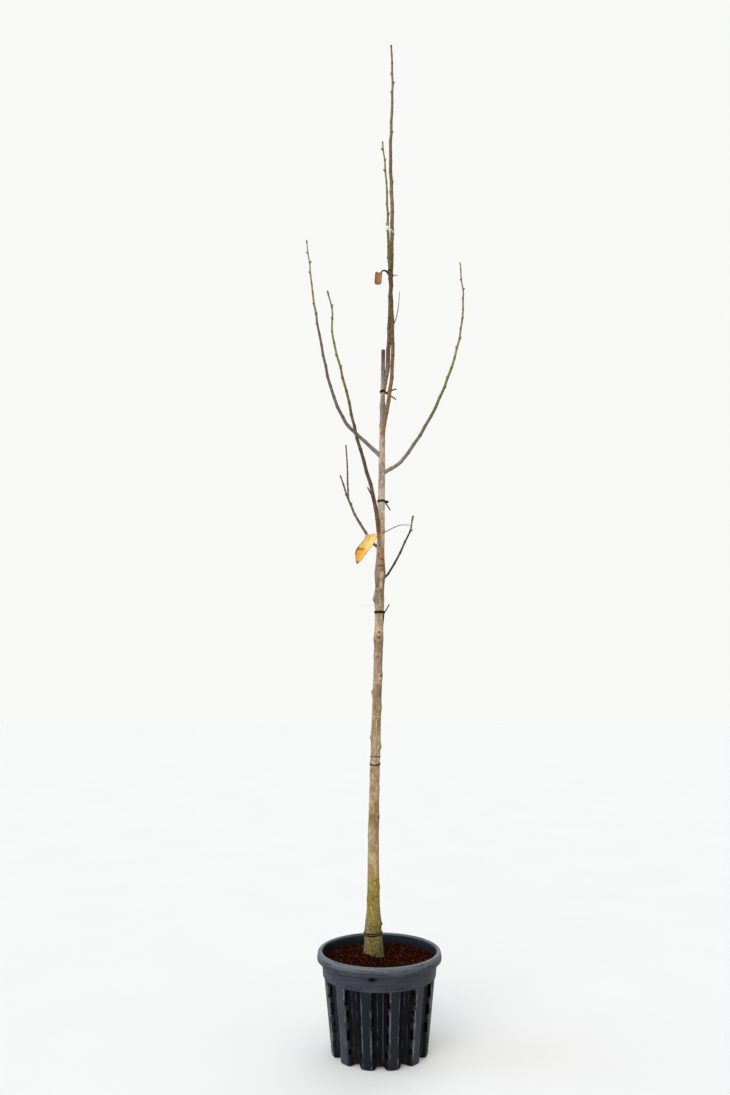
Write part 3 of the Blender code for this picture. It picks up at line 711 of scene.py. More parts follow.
def bark_finish(name, stops, silver=0.3, satin=0.0, drift=0.08):
    """Bark of a limb: its colours from foot to tip lie along the piece's own share attribute."""
    made = Finish(name, roughness=0.70, specular_ior_level=0.25)
    share = made.attribute("share")
    base = made.ramp(share + (made.clouds(18, 3, 0.6) - 0.5) * drift, stops)
    green = made.step(share, 0.48, 0.66)
    blotches = made.step(made.clouds(70, 4, 0.65), 0.40, 0.62)
    colour = made.mix(blotches * 0.55, base, made.tinted(base, (0.48, 0.40, 0.34)))
    film = made.step(made.clouds(46, 3, 0.65), 0.52, 0.66) * (1 - green)
    colour = made.mix(film * silver, colour, (0.330, 0.300, 0.285))
    dots = 1 - made.step(made.cells(210), 0.16, 0.32)
    some = made.step(made.clouds(75, 2, 0.5), 0.44, 0.58)
    colour = made.mix(dots * some * 0.5, colour, (0.460, 0.400, 0.290))
    node = made.attribute("node")
    colour = made.mix(node * 0.65, colour, (0.055, 0.026, 0.012))
    relief = made.clouds(240, 3, 0.6) + dots * some * 0.6
    return made.dress(colour, 0.72 - green * satin + blotches * 0.14, relief, 0.0010, 0.6)


def plain_bark_finish(name, dark, light, scale=260):
    """Small woody things in two browns: buds, leaf scars and stalks."""
    made = Finish(name, roughness=0.70, specular_ior_level=0.2)
    tone = made.step(made.clouds(scale, 3, 0.6), 0.36, 0.64)
    return made.dress(made.mix(tone, dark, light), None, made.clouds(scale * 3, 2, 0.5), 0.0006, 0.5)


def leaf_finish(name, blade, edge, vein, brown=0.3, crease=None):
    """A dying leaf: blade is its colours from base to tip, crease a browned fold across one half."""
    made = Finish(name, roughness=0.55, specular_ior_level=0.3)
    uv = made.node("ShaderNodeTexCoord", out="UV")
    along = made.node("ShaderNodeSeparateXYZ", None, {0: uv}, "X")
    across = made.node("ShaderNodeSeparateXYZ", None, {0: uv}, "Y")
    margin = made.math("ABSOLUTE", across - 0.5, 0.0) * 2
    slanted = (along - margin * 0.16) * LEAF_VEINS
    ribs = made.math("ABSOLUTE", made.math("FRACT", slanted, 0.0) - 0.5, 0.0)
    side_veins = 1 - made.step(ribs, 0.02, 0.12)
    midrib = 1 - made.step(margin, 0.02, 0.09)
    veined = made.math("MAXIMUM", side_veins * 0.6, midrib)
    base = made.ramp(along + made.clouds(60, 2, 0.5) * 0.12 - 0.06, blade)
    mottle = made.step(made.clouds(85, 4, 0.6), 0.40, 0.70)
    colour = made.mix(mottle * 0.55, base, made.tinted(base, (0.90, 0.66, 0.40)))
    colour = made.mix(veined * 0.45, colour, vein)
    if crease:
        place, half_width, burnt = crease
        away = made.math("ABSOLUTE", along - place - (across - 0.8) * 0.18, 0.0)
        band = 1 - made.step(away, half_width * 0.3, half_width)
        band = band * made.step(across, 0.40, 0.62)
        colour = made.mix(band * 0.85, colour, burnt)
        rim = made.step(across, 0.86, 0.96) * made.step(along, place - 0.08, place)
        colour = made.mix(rim * 0.9, colour, edge)
        colour = made.mix(made.step(along, 0.90, 0.97), colour, edge)
    worn = made.step(margin + made.clouds(45, 4, 0.65) * 0.9 + along * brown, 1.25, 1.55)
    colour = made.mix(worn * 0.8, colour, edge)
    spots = made.step(made.clouds(130, 3, 0.6), 0.66, 0.73)
    colour = made.mix(spots * 0.7, colour, edge)
    return made.dress(colour, None, mottle * 0.3 - veined, 0.0012, 0.7)


def wire_finish(name, coat, worn):
    """Coated wire, worn here and there."""
    made = Finish(name, roughness=0.6, specular_ior_level=0.12)
    rust = made.step(made.clouds(220, 3, 0.6), 0.46, 0.66)
    return made.dress(made.mix(rust, coat, worn), 0.42 + rust * 0.3, made.clouds(900, 2, 0.5), 0.0005, 0.4)


def string_finish(name="tie_string", light=(0.80, 0.79, 0.76), shade=(0.60, 0.58, 0.53)):
    """Twine in two tones."""
    made = Finish(name, roughness=0.85)
    tone = made.step(made.clouds(300, 3, 0.6), 0.35, 0.7)
    return made.dress(made.mix(tone, light, shade), None, tone, 0.0006, 0.6)


def floor_finish():
    """Plain pale floor, about as light as the studio behind it."""
    made = Finish("floor", roughness=0.95, specular_ior_level=0.0, emission_strength=FLOOR_GLOW)
    tone = made.clouds(2, 2, 0.5)
    made.shader.inputs["Emission Color"].default_value = (1.0, 1.0, 1.0, 1.0)
    return made.dress(made.mix(tone, (0.50, 0.505, 0.51), (0.52, 0.525, 0.53)))


def smooth(stations, at):
    """Values at a place, on a smooth curve through stations of (place, value, ...)."""
    def slope(i):
        before = stations[max(i - 1, 0)]
        after = stations[min(i + 1, len(stations) - 1)]
        return [(b - a) / (after[0] - before[0]) for a, b in zip(before[1:], after[1:])]

    at = min(max(at, stations[0][0]), stations[-1][0])
    i = max(k for k in range(len(stations) - 1) if stations[k][0] <= at)
    span = stations[i + 1][0] - stations[i][0]
    t = (at - stations[i][0]) / span
    blend = (
        2 * t**3 - 3 * t**2 + 1, (t**3 - 2 * t**2 + t) * span, 3 * t**2 - 2 * t**3, (t**3 - t**2) * span,
    )
    columns = zip(stations[i][1:], slope(i), stations[i + 1][1:], slope(i + 1))
    return [sum(b * v for b, v in zip(blend, column)) for column in columns]


def swelling(distance, half_length):
    return math.exp(-((distance / half_length) ** 2))


def new_object(name, mesh):
    made = bpy.data.objects.new(name, mesh)
    bpy.context.scene.collection.objects.link(made)
    return made


def paint(mesh, name, values):
    """Store one number for each vertex of a mesh."""
    layer = mesh.attributes.new(name, "FLOAT", "POINT")
    layer.data.foreach_set("value", values)


def skin(name, rings, closed_ends=True, sharp=50):
    """A mesh through a stack of rings, with a cap on each end."""
    points = [point for ring in rings for point in ring]
    sides = len(rings[0])
    faces = []
    for level in range(len(rings) - 1):
        low = level * sides
        for i in range(sides):
            j = (i + 1) % sides
            faces.append((low + i, low + j, low + sides + j, low + sides + i))
    if closed_ends:
        faces.append(tuple(reversed(range(sides))))
        faces.append(tuple(range(len(points) - sides, len(points))))
    mesh = bpy.data.meshes.new(name)
    mesh.from_pydata(points, [], faces)
    mesh.shade_smooth()
    mesh.set_sharp_from_angle(angle=math.radians(sharp))
    return mesh


def add_piece(name, mesh, material, slot, *nodes):
    """Give a mesh its material, and let it ride and stand for its nodes."""
    mesh.materials.clear()
    mesh.materials.append(material)
    piece = new_object(name, mesh)
    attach(piece, "root")
    if nodes:
        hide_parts(*nodes)


def evaluated_mesh(source):
    """A plain mesh of an object with its modifiers carried out."""
    bpy.context.view_layer.update()
    return bpy.data.meshes.new_from_object(source.evaluated_get(bpy.context.evaluated_depsgraph_get()))


def grown(name, host_mesh, tree, **inputs):
    """The plain mesh that a geometry tree makes on a mesh, with the tree's inputs set by name."""
    host = new_object(name + "_host", host_mesh)
    modifier = host.modifiers.new("grow", "NODES")
    modifier.node_group = tree
    entries = {item.name: item.identifier for item in tree.interface.items_tree if item.in_out == "INPUT"}
    for label, value in inputs.items():
        modifier[entries[label.replace("_", " ").capitalize()]] = value
    host.update_tag()
    made = evaluated_mesh(host)
    made.name = name
    host.modifiers.remove(modifier)
    bpy.data.objects.remove(host)
    return made


def new_tree(name, **inputs):
    """An empty geometry tree with named inputs: (its graph, its input sockets by name)."""
    tree = bpy.data.node_groups.new(name, "GeometryNodeTree")
    tree.interface.new_socket("Geometry", in_out="INPUT", socket_type="NodeSocketGeometry")
    for label, (kind, value) in inputs.items():
        entry = tree.interface.new_socket(
            label.replace("_", " ").capitalize(), in_out="INPUT", socket_type="NodeSocket" + kind
        )
        if value is not None:
            entry.default_value = value
    tree.interface.new_socket("Geometry", in_out="OUTPUT", socket_type="NodeSocketGeometry")
    graph = Graph(tree)
    entry = tree.nodes.new("NodeGroupInput")
    return graph, {output.name: Socket(graph, output) for output in entry.outputs if output.name}


def end_tree(graph, geometry, material):
    """Realize what the tree made and give it its material."""
    plain = graph.node("GeometryNodeRealizeInstances", None, {0: geometry})
    smooth_shape = graph.node("GeometryNodeSetShadeSmooth", None, {0: plain})
    finished = graph.node("GeometryNodeSetMaterial", None, {"Geometry": smooth_shape, "Material": material})
    graph.feed(graph.tree.nodes.new("NodeGroupOutput").inputs[0], finished)
    return graph.tree


def tube_tree():
    """Tubes with a skin of fine relief, along every chain of a mesh that carries its girth."""
    graph, entry = new_tree(
        "bark_tube", sides=("Int", 12), relief=("Float", 0.0003), grain=("Float", 120.0),
        material=("Material", None),
    )
    path = graph.node("GeometryNodeMeshToCurve", None, {0: entry["Geometry"]})
    sockets = {"Resolution": entry["Sides"], "Radius": 1.0}
    profile = graph.node("GeometryNodeCurvePrimitiveCircle", None, sockets)
    girth = graph.node("GeometryNodeInputNamedAttribute", None, {"Name": "girth"})
    sockets = {"Curve": path, "Profile Curve": profile, "Scale": girth, "Fill Caps": True}
    tube = graph.node("GeometryNodeCurveToMesh", None, sockets)
    grain = graph.node("ShaderNodeTexNoise", None, {"Scale": entry["Grain"], "Detail": 3.0})
    normal = graph.node("GeometryNodeInputNormal")
    depth = (grain - 0.5) * 2.0 * entry["Relief"]
    offset = graph.node("ShaderNodeVectorMath", {"operation": "SCALE"}, {0: normal, "Scale": depth})
    rough = graph.node("GeometryNodeSetPosition", None, {"Geometry": tube, "Offset": offset})
    return end_tree(graph, rough, entry["Material"])


def growth_tree():
    """A shape on every point of a mesh, turned to the point's heading and scaled to its size."""
    graph, entry = new_tree("growth", shape=("Object", None), material=("Material", None))
    shape = graph.node("GeometryNodeObjectInfo", None, {"Object": entry["Shape"]}, "Geometry")
    vector = {"data_type": "FLOAT_VECTOR"}
    heading = graph.node("GeometryNodeInputNamedAttribute", vector, {"Name": "heading"})
    turn = graph.node("FunctionNodeAlignRotationToVector", {"axis": "Z"}, {"Vector": heading})
    size = graph.node("GeometryNodeInputNamedAttribute", None, {"Name": "size"})
    sockets = {"Points": entry["Geometry"], "Instance": shape, "Rotation": turn, "Scale": size}
    placed = graph.node("GeometryNodeInstanceOnPoints", None, sockets)
    return end_tree(graph, placed, entry["Material"])


def scatter_tree():
    """Chips strewn over a surface, each picked, turned and scaled at random from one seed."""
    graph, entry = new_tree(
        "strewn", shapes=("Collection", None), density=("Float", 1000.0), size=("Float", 0.005),
        seed=("Int", 1), material=("Material", None),
    )
    sockets = {"Mesh": entry["Geometry"], "Density": entry["Density"], "Seed": entry["Seed"]}
    points = graph.node("GeometryNodeDistributePointsOnFaces", None, sockets)
    sockets = {0: entry["Shapes"], 1: True, 2: True}
    shapes = graph.node("GeometryNodeCollectionInfo", None, sockets)
    turn = graph.node(
        "FunctionNodeRandomValue", {"data_type": "FLOAT_VECTOR"},
        {0: (0.0, 0.0, 0.0), 1: (math.tau, math.tau, math.tau), "Seed": entry["Seed"]},
    )
    scale = graph.node("FunctionNodeRandomValue", None, {2: 0.45, 3: 1.25, "Seed": entry["Seed"] + 7})
    sockets = {
        "Points": points, "Instance": shapes, "Pick Instance": True,
        "Rotation": turn, "Scale": scale * entry["Size"],
    }
    strewn = graph.node("GeometryNodeInstanceOnPoints", None, sockets)
    return end_tree(graph, strewn, entry["Material"])


def chains_mesh(name, chains):
    """A mesh of point chains, each point given as (place, radius, share, node)."""
    points = [point for chain in chains for point in chain]
    edges = []
    first = 0
    for chain in chains:
        edges += [(first + i, first + i + 1) for i in range(len(chain) - 1)]
        first += len(chain)
    mesh = bpy.data.meshes.new(name)
    mesh.from_pydata([point[0] for point in points], edges, [])
    paint(mesh, "girth", [point[1] for point in points])
    paint(mesh, "share", [point[2] for point in points])
    paint(mesh, "node", [point[3] for point in points])
    return mesh


def points_mesh(name, growths):
    """A mesh of loose points, each given as (place, heading, size)."""
    mesh = bpy.data.meshes.new(name)
    mesh.from_pydata([place for place, _, _ in growths], [], [])
    layer = mesh.attributes.new("heading", "FLOAT_VECTOR", "POINT")
    layer.data.foreach_set("vector", [value for _, heading, _ in growths for value in heading])
    paint(mesh, "size", [size for _, _, size in growths])
    return mesh


def bearing(angle):
    """The level direction at an angle from +X."""
    return Vector((math.cos(angle), math.sin(angle), 0))


def trunk_centre(height):
    return Vector((*smooth(TRUNK_LINE, height), height))


def turn_from(angle, degrees):
    """How far an angle lies from a bearing, in degrees."""
    return (math.degrees(angle) - degrees + 180) % 360 - 180


def trunk_plain_radius(height, angle):
    """Taper, swellings, knots and the flare at the foot."""
    radius = smooth(TRUNK_TAPER, height)[0] / 2
    for level, extra, half in SWELLINGS:
        radius += extra / 2 * swelling(height - level, half)
    for level, degrees, rise, half, _ in KNOTS:
        if abs(height - level) < 3 * half:
            round_it = swelling(turn_from(angle, degrees), KNOT_SPREAD)
            radius += rise * swelling(height - level, half) * round_it
    lift = (height - TRUNK_FOOT) / BUTTRESS_HEIGHT
    return radius + BUTTRESS_RISE * math.cos(BUTTRESSES * angle + 1) * math.exp(-lift)


def trunk_bumps(height, angle):
    """How far the small bumps lift the bark at a place on the trunk."""
    rise = 0.0
    for level, degrees, most, half in BUMPS:
        if abs(height - level) < 3 * half:
            rise += most * swelling(height - level, half) * swelling(turn_from(angle, degrees), KNOT_SPREAD)
    return rise


def ridge_share(height, angle):
    """1 in the middle of the ridge under the left bough, and 0 away from it."""
    (top, start), (foot, end) = FOOT_RIDGE
    share = (top - height) / (top - foot)
    if not -0.15 < share < 1.15:
        return 0.0
    middle = start + (end - start) * share
    across = math.radians(turn_from(angle, middle)) * 0.018
    ends = min(1.0, (share + 0.15) / 0.15, (1.15 - share) / 0.15)
    return swelling(across, FOOT_RIDGE_HALF) * ends


def trunk_marks(height, angle, radius):
    """(dark scar, pale callus, rust, olive, brown ring) at a place on the trunk, each from 0 to 1."""
    scar = callus = ring = 0.0
    stains = {"rust": 0.0, "olive": 0.0, "pale": 0.0}
    for level, degrees, _, half, dark in KNOTS:
        if abs(height - level) < 1.6 * half:
            across = math.radians(turn_from(angle, degrees)) * radius
            away = math.hypot(height - level, across * 1.15) / (0.50 * half)
            scar = max(scar, 0.7 * dark * math.exp(-((away * 1.9) ** 2)))
            callus = max(callus, 0.6 * dark * math.exp(-(((away - 1.35) / 0.40) ** 2)))
    for level, degrees, half in SCARS:
        if abs(height - level) < 2.2 * half:
            across = math.radians(turn_from(angle, degrees)) * radius
            away = math.hypot((height - level) * 1.3, across) / half
            scar = max(scar, math.exp(-((away * 1.35) ** 2)))
            callus = max(callus, 0.5 * math.exp(-(((away - 1.15) / 0.35) ** 2)))
    for level, degrees, half_height, half_width, slant, stain in STAINS:
        if abs(height - level) < 2 * (half_height + abs(slant) * 0.03):
            across = math.radians(turn_from(angle, degrees)) * radius
            away = math.hypot((height - level - slant * across) / half_height, across / half_width)
            stains[stain] = max(stains[stain], math.exp(-(away**4)))
    for level, half, dark, slant in YEAR_RINGS:
        wavy = level + 0.0006 * math.sin(3 * angle + level * 40) + slant * math.cos(angle)
        ring = max(ring, dark * swelling(height - wavy, half))
    for level, half in PALE_RINGS:
        wavy = level + 0.003 * math.sin(2 * angle + level * 25)
        callus = max(callus, 0.6 * swelling(height - wavy, half))
    return scar, max(callus, stains["pale"]), stains["rust"], stains["olive"], ring


def add_trunk(material):
    """The stem with its bark's relief, from its flat foot to its flat top."""
    count = round((TRUNK_TOP - TRUNK_FOOT) / TRUNK_RING)
    rings = []
    marks = []
    for i in range(count + 1):
        height = TRUNK_FOOT + (TRUNK_TOP - TRUNK_FOOT) * i / count
        centre = trunk_centre(height)
        ring = []
        for k in range(TRUNK_SIDES):
            angle = math.tau * k / TRUNK_SIDES
            out = bearing(angle)
            radius = trunk_plain_radius(height, angle) + trunk_bumps(height, angle)
            scar, callus, rust, olive, year = trunk_marks(height, angle, radius)
            ridge = ridge_share(height, angle)
            place = centre + out * radius
            lumps = noise.noise(Vector((place.x * 60, place.y * 60, place.z * 26)))
            fissures = abs(noise.noise(Vector((place.x * 190, place.y * 190, place.z * 30 + 9))))
            relief = TRUNK_RELIEF * (1.6 * lumps - 2.0 * fissures)
            relief += 0.0012 * callus - 0.0022 * scar - 0.0006 * year + 0.0010 * rust + 0.0012 * olive
            ring.append(centre + out * (radius + relief + FOOT_RIDGE_RISE * ridge))
            marks.append((scar, callus, rust, olive, max(year, 0.55 * ridge)))
        rings.append(ring)
    mesh = skin("trunk", rings)
    for name, values in zip(("scar", "callus", "rust", "olive", "brown"), zip(*marks)):
        paint(mesh, name, values)
    add_piece("trunk_bark", mesh, material, "trunk_bark", "trunk")


def curve_through(via):
    """Evenly spaced points on a smooth curve through the given ones, with the way travelled to each."""
    way = [0.0]
    for here, there in zip(via, via[1:]):
        way.append(way[-1] + (Vector(there) - Vector(here)).length)
    stations = [(travelled, *point) for travelled, point in zip(way, via)]
    count = round(way[-1] / CURVE_STEP)
    points = [Vector(smooth(stations, way[-1] * i / count)) for i in range(count + 1)]
    travelled = [0.0]
    for here, there in zip(points, points[1:]):
        travelled.append(travelled[-1] + (there - here).length)
    return points, travelled


def point_at(curve, distance):
    """The point this far along a curve."""
    points, travelled = curve
    i = next((k for k, way in enumerate(travelled[1:]) if way >= distance), len(points) - 2)
    share = (distance - travelled[i]) / (travelled[i + 1] - travelled[i])
    return points[i].lerp(points[i + 1], share)


def kinked(curve, distance):
    """A point of a shoot, which bends a little to and fro from bud to bud."""
    def kink(node):
        angle = math.radians(BUD_TURN * node)
        return KINK * bearing(angle)

    node, share = divmod(distance / INTERNODE, 1)
    settled = min(distance / INTERNODE / 2, 1)
    return point_at(curve, distance) + settled * kink(node).lerp(kink(node + 1), share)


def limb_radius(limb, share, distance):
    """Taper from foot to tip, with a collar at the trunk."""
    stations = ((0.0, limb.foot), (0.5, limb.middle), (1.0, limb.tip))
    radius = smooth(stations, share)[0] / 2
    return radius * (1 + limb.collar * math.exp(-distance / COLLAR_LENGTH))


def limb_chain(limb, curve, start, end):
    """Closely spaced points of a stretch of a limb, swollen a little at each node."""
    length = curve[1][-1]
    count = round((end - start) / LIMB_RING)
    chain = []
    for i in range(count + 1):
        way = start + (end - start) * i / count
        nearest = round(way / INTERNODE) * INTERNODE
        near_node = swelling(way - nearest, NODE_HALF) * (nearest > 0)
        radius = limb_radius(limb, way / length, way) + NODE_SWELL * near_node
        chain.append((kinked(curve, way), radius, way / length, near_node * (way / length)))
    return chain


def end_bud_chain(chain):
    """The end bud: the shoot's last stretch swells a little and closes to a point."""
    foot, radius, share, _ = chain[-1]
    along = (foot - chain[-3][0]).normalized()
    shape = ((0.002, 1.15), (0.004, 1.30), (0.006, 1.22), (0.009, 0.85), (0.0115, 0.45), (END_BUD, 0.12))
    return [(foot + along * step, radius * fullness, share, 0.9) for step, fullness in shape]


def bud_growths(limb, curve, start, end):
    """Where a shoot's buds and the leaf scars under them sit, by the rule of the solids."""
    rule = random.Random(limb.seed)
    buds = []
    scars = []
    length = curve[1][-1]
    nodes = range(math.ceil((start + 0.012) / INTERNODE), math.ceil((end - 0.012) / INTERNODE))
    for node in nodes:
        way = node * INTERNODE
        point = kinked(curve, way)
        along = (kinked(curve, way + AIM) - kinked(curve, way - AIM)).normalized()
        turn = math.radians(BUD_TURN * node + rule.uniform(-20, 20))
        outward = bearing(turn)
        outward = (outward - along * outward.dot(along)).normalized()
        radius = limb_radius(limb, way / length, way)
        size = rule.uniform(0.75, 1.05) * (0.7 + 0.3 * way / length)
        lean = math.radians(BUD_LEAN)
        heading = (along * math.cos(lean) + outward * math.sin(lean)).normalized()
        buds.append((point + outward * radius * 0.55, heading, size))
        scars.append((point + outward * (radius + 0.0002) - along * 0.0035, outward, size))
    return buds, scars


def bud_shape():
    """A pointed bud with three pairs of scales, standing on the origin along +Z."""
    outline = ((0.0, 0.55), (0.15, 0.85), (0.32, 1.0), (0.36, 0.90), (0.55, 0.86), (0.60, 0.74),
               (0.78, 0.56), (0.82, 0.44), (0.94, 0.24), (1.0, 0.08))
    rings = []
    for share, fullness in outline:
        ring = []
        for k in range(10):
            angle = math.tau * k / 10
            reach = BUD_WIDTH / 2 * fullness * (1 + 0.08 * math.cos(2 * angle + 5 * share))
            ring.append((reach * math.cos(angle), reach * math.sin(angle), BUD_LENGTH * share))
        rings.append(ring)
    return new_object("bud_shape", skin("bud_shape", rings))


def scar_shape():
    """A leaf scar: a low pad, flat on top, facing +Z."""
    rings = []
    for height, reach in ((-0.0010, 0.0022), (0.0002, 0.0021), (0.0005, 0.0016), (0.0003, 0.0009)):
        ring = []
        for k in range(12):
            angle = math.tau * k / 12
            notch = 1 - 0.25 * max(0.0, math.cos(angle)) ** 6
            ring.append((reach * notch * math.cos(angle), 1.15 * reach * math.sin(angle), height))
        rings.append(ring)
    return new_object("scar_shape", skin("scar_shape", rings))


def add_limb(limb, tree, finish):
    """The bough and the shoot of one limb, grown along the limb's curve."""
    curve = curve_through(limb.via)
    length = curve[1][-1]
    join = length * limb.wood
    stretches = [limb_chain(limb, curve, 0.0, join), limb_chain(limb, curve, join, length - END_BUD)]
    stretches[1] += end_bud_chain(stretches[1])
    chains = {limb.bough: [stretches[0]], limb.shoot: [stretches[1]]}
    if limb.name == "low_left":
        chains[limb.shoot].append(twig_chain(FORK_TWIG, True))
    for node, slot in ((limb.bough, "old_bark"), (limb.shoot, "shoot_bark")):
        path = chains_mesh(node, chains[node])
        mesh = grown(node, path, tree, sides=LIMB_SIDES, relief=LIMB_RELIEF, grain=140.0, material=finish)
        mesh.set_sharp_from_angle(angle=math.radians(60))
        add_piece(node + "_bark", mesh, finish, slot, node)
    return bud_growths(limb, curve, join, length - END_BUD)


def twig_chain(twig, end_bud=False):
    """Closely spaced points of a short twig or a leaf stalk."""
    points, travelled = curve_through(twig.via)
    chain = []
    for point, way in zip(points, travelled):
        share = way / travelled[-1]
        near_node = swelling((way % 0.028) - 0.014, 0.003) * end_bud
        radius = (twig.foot + (twig.tip - twig.foot) * share) / 2 + 0.0006 * near_node
        chain.append((point, radius, 0.4 + 0.6 * share, near_node))
    if end_bud:
        chain += end_bud_chain(chain)
    return chain


def add_buds(tree, buds, scars):
    """Every bud on the tree, and the leaf scar under each."""
    shapes = (
        ("buds", bud_shape(), buds, "bud_scales", (0.035, 0.020, 0.010), (0.110, 0.075, 0.030)),
        ("leaf_scars", scar_shape(), scars, "leaf_scar", (0.230, 0.160, 0.095), (0.420, 0.330, 0.230)),
    )
    for name, shape, growths, *look in shapes:
        finish = plain_bark_finish(*look)
        mesh = grown(name, points_mesh(name, growths), tree, shape=shape, material=finish)
        bpy.data.objects.remove(shape)
        add_piece(name, mesh, finish, "shoot_bark")


def add_twigs(tree):
    """The spur and the two bare leaf stalks."""
    spur = bark_finish("spur_bark", ((0.0, (0.130, 0.085, 0.050)), (1.0, (0.120, 0.055, 0.030))))
    stalk = plain_bark_finish("stalk_skin", (0.022, 0.015, 0.008), (0.105, 0.085, 0.032), 70)
    twigs = ((SPUR_TWIG, spur, True), (STALKS[0], stalk, False), (STALKS[1], stalk, False))
    for twig, finish, end_bud in twigs:
        path = chains_mesh(twig.name, [twig_chain(twig, end_bud)])
        mesh = grown(twig.name, path, tree, sides=14, relief=0.0002, grain=260.0, material=finish)
        add_piece(twig.name + "_skin", mesh, finish, "shoot_bark", twig.name)


def add_leaf(leaf, tree, finish, slot):
    """A thin blade folded along its rib, cupped, wavy at its margin, and its stalk."""
    base = Vector(leaf.base)
    end = Vector(leaf.end)
    along = (end - base).normalized()
    side = along.cross(Vector((0, -1, 0))).normalized()
    face = side.cross(along)
    lengthwise, crosswise = LEAF_CELLS
    blade = bmesh.new()
    uv = blade.loops.layers.uv.new("UVMap")
    grid = []
    for i in range(lengthwise + 1):
        share = 0.01 + 0.98 * i / lengthwise
        rib = base.lerp(end, share) + face * leaf.sag * math.sin(math.pi * share)
        twist = math.radians(leaf.twist) * (share - 0.5)
        left, right = smooth(leaf.outline, share)
        row = []
        for j in range(crosswise + 1):
            t = 2 * j / crosswise - 1
            half = left if t > 0 else right
            fold = math.radians(leaf.fold) * (0.55 + 0.45 * abs(t))
            wave = 0.05 * half * math.sin(17 * share + 3 * t) * abs(t) ** 2
            out = side * math.cos(fold) * t * half
            up = face * (math.sin(fold) * abs(t) * half + wave)
            lean = along * leaf.slant * t * half * (1 - share) ** 2
            place = rib + Matrix.Rotation(twist, 3, along) @ (out + up + lean)
            row.append((blade.verts.new(place), share, (t + 1) / 2))
        grid.append(row)
    for lower, upper in zip(grid, grid[1:]):
        for j in range(crosswise):
            corners = (lower[j], upper[j], upper[j + 1], lower[j + 1])
            made = blade.faces.new([corner[0] for corner in corners])
            for loop, corner in zip(made.loops, corners):
                loop[uv].uv = corner[1:]
    mesh = bpy.data.meshes.new(leaf.name)
    blade.to_mesh(mesh)
    blade.free()
    mesh.shade_smooth()
    thickened = new_object(leaf.name + "_blade", mesh)
    shell = thickened.modifiers.new("thickness", "SOLIDIFY")
    shell.thickness = leaf.thick
    shell.offset = 0
    solid = evaluated_mesh(thickened)
    bpy.data.objects.remove(thickened)
    add_piece(leaf.name + "_blade", solid, finish, slot, leaf.name)
    stalk = Twig(leaf.name + "_stalk", leaf.stalk, leaf.stalk_foot, leaf.stalk_tip)
    path = chains_mesh(stalk.name, [twig_chain(stalk)])
    stalk_finish = plain_bark_finish(stalk.name, (0.014, 0.005, 0.004), (0.110, 0.036, 0.022), 70)
    mesh = grown(stalk.name, path, tree, sides=10, relief=0.0003, grain=300.0, material=stalk_finish)
    add_piece(stalk.name, mesh, stalk_finish, slot)


def lobe_depth(half, degrees):
    """Depth of the pot's wall inside its lobes' faces, at degrees from a lobe's middle, rounded off."""
    total = 0.0
    samples = 9
    for i in range(samples):
        at = abs(degrees + LOBE_ROUNDING * (2 * i / (samples - 1) - 1))
        at = min(at, 30 - at)
        for (d0, depth0), (d1, depth1) in zip(half, half[1:]):
            if d0 <= at <= d1:
                total += depth0 + (depth1 - depth0) * (at - d0) / (d1 - d0)
                break
    return total / samples


# A point round the pot: bearing, depth there, depth at the floor, nearness to a lobe's edge, painted
# highlight on its corners, and dust with a painted reflection
Spot = namedtuple("Spot", "angle depth broad_depth edge rubbed dust")


def lobe_profile():
    """Every point round the pot."""
    profile = []
    for lobe in range(LOBES):
        for i in range(LOBE_POINTS):
            degrees = 30 * i / LOBE_POINTS - 15
            inner, outer = LOBE_EDGE
            edge = min(1.0, max(0.0, (abs(degrees) - inner) / (outer - inner)))
            # Painted highlight along the corners of lobes and ribs
            rubbed = max(share * swelling(abs(degrees) - at, half) for at, half, share in EDGE_HIGHLIGHTS)
            profile.append(Spot(
                math.radians(360 / LOBES * (lobe + 0.5) + degrees), lobe_depth(HALF_LOBE, degrees),
                lobe_depth(HALF_FOOT, degrees), edge, rubbed, LOBE_DUST_AND_REFLECTION[lobe],
            ))
    return profile


def flute_radius(share):
    """Radius of the lobes' faces at a share of the way up the flutes."""
    return FLUTE_FOOT_RADIUS + share * (FLUTE_TOP_RADIUS - FLUTE_FOOT_RADIUS)


def wall_ring(profile, radius, height, flute=1.0, lift=0.0, broad=0.0):
    """A ring round the pot with grooves flute deep, whose grooves and lobe corners are lifted."""
    ring = []
    for spot in profile:
        reach = radius - (spot.depth + (spot.broad_depth - spot.depth) * broad) * flute
        rise = lift * (1 - math.sqrt(1 - spot.edge**2))
        ring.append((reach * math.cos(spot.angle), reach * math.sin(spot.angle), height + rise))
    return ring


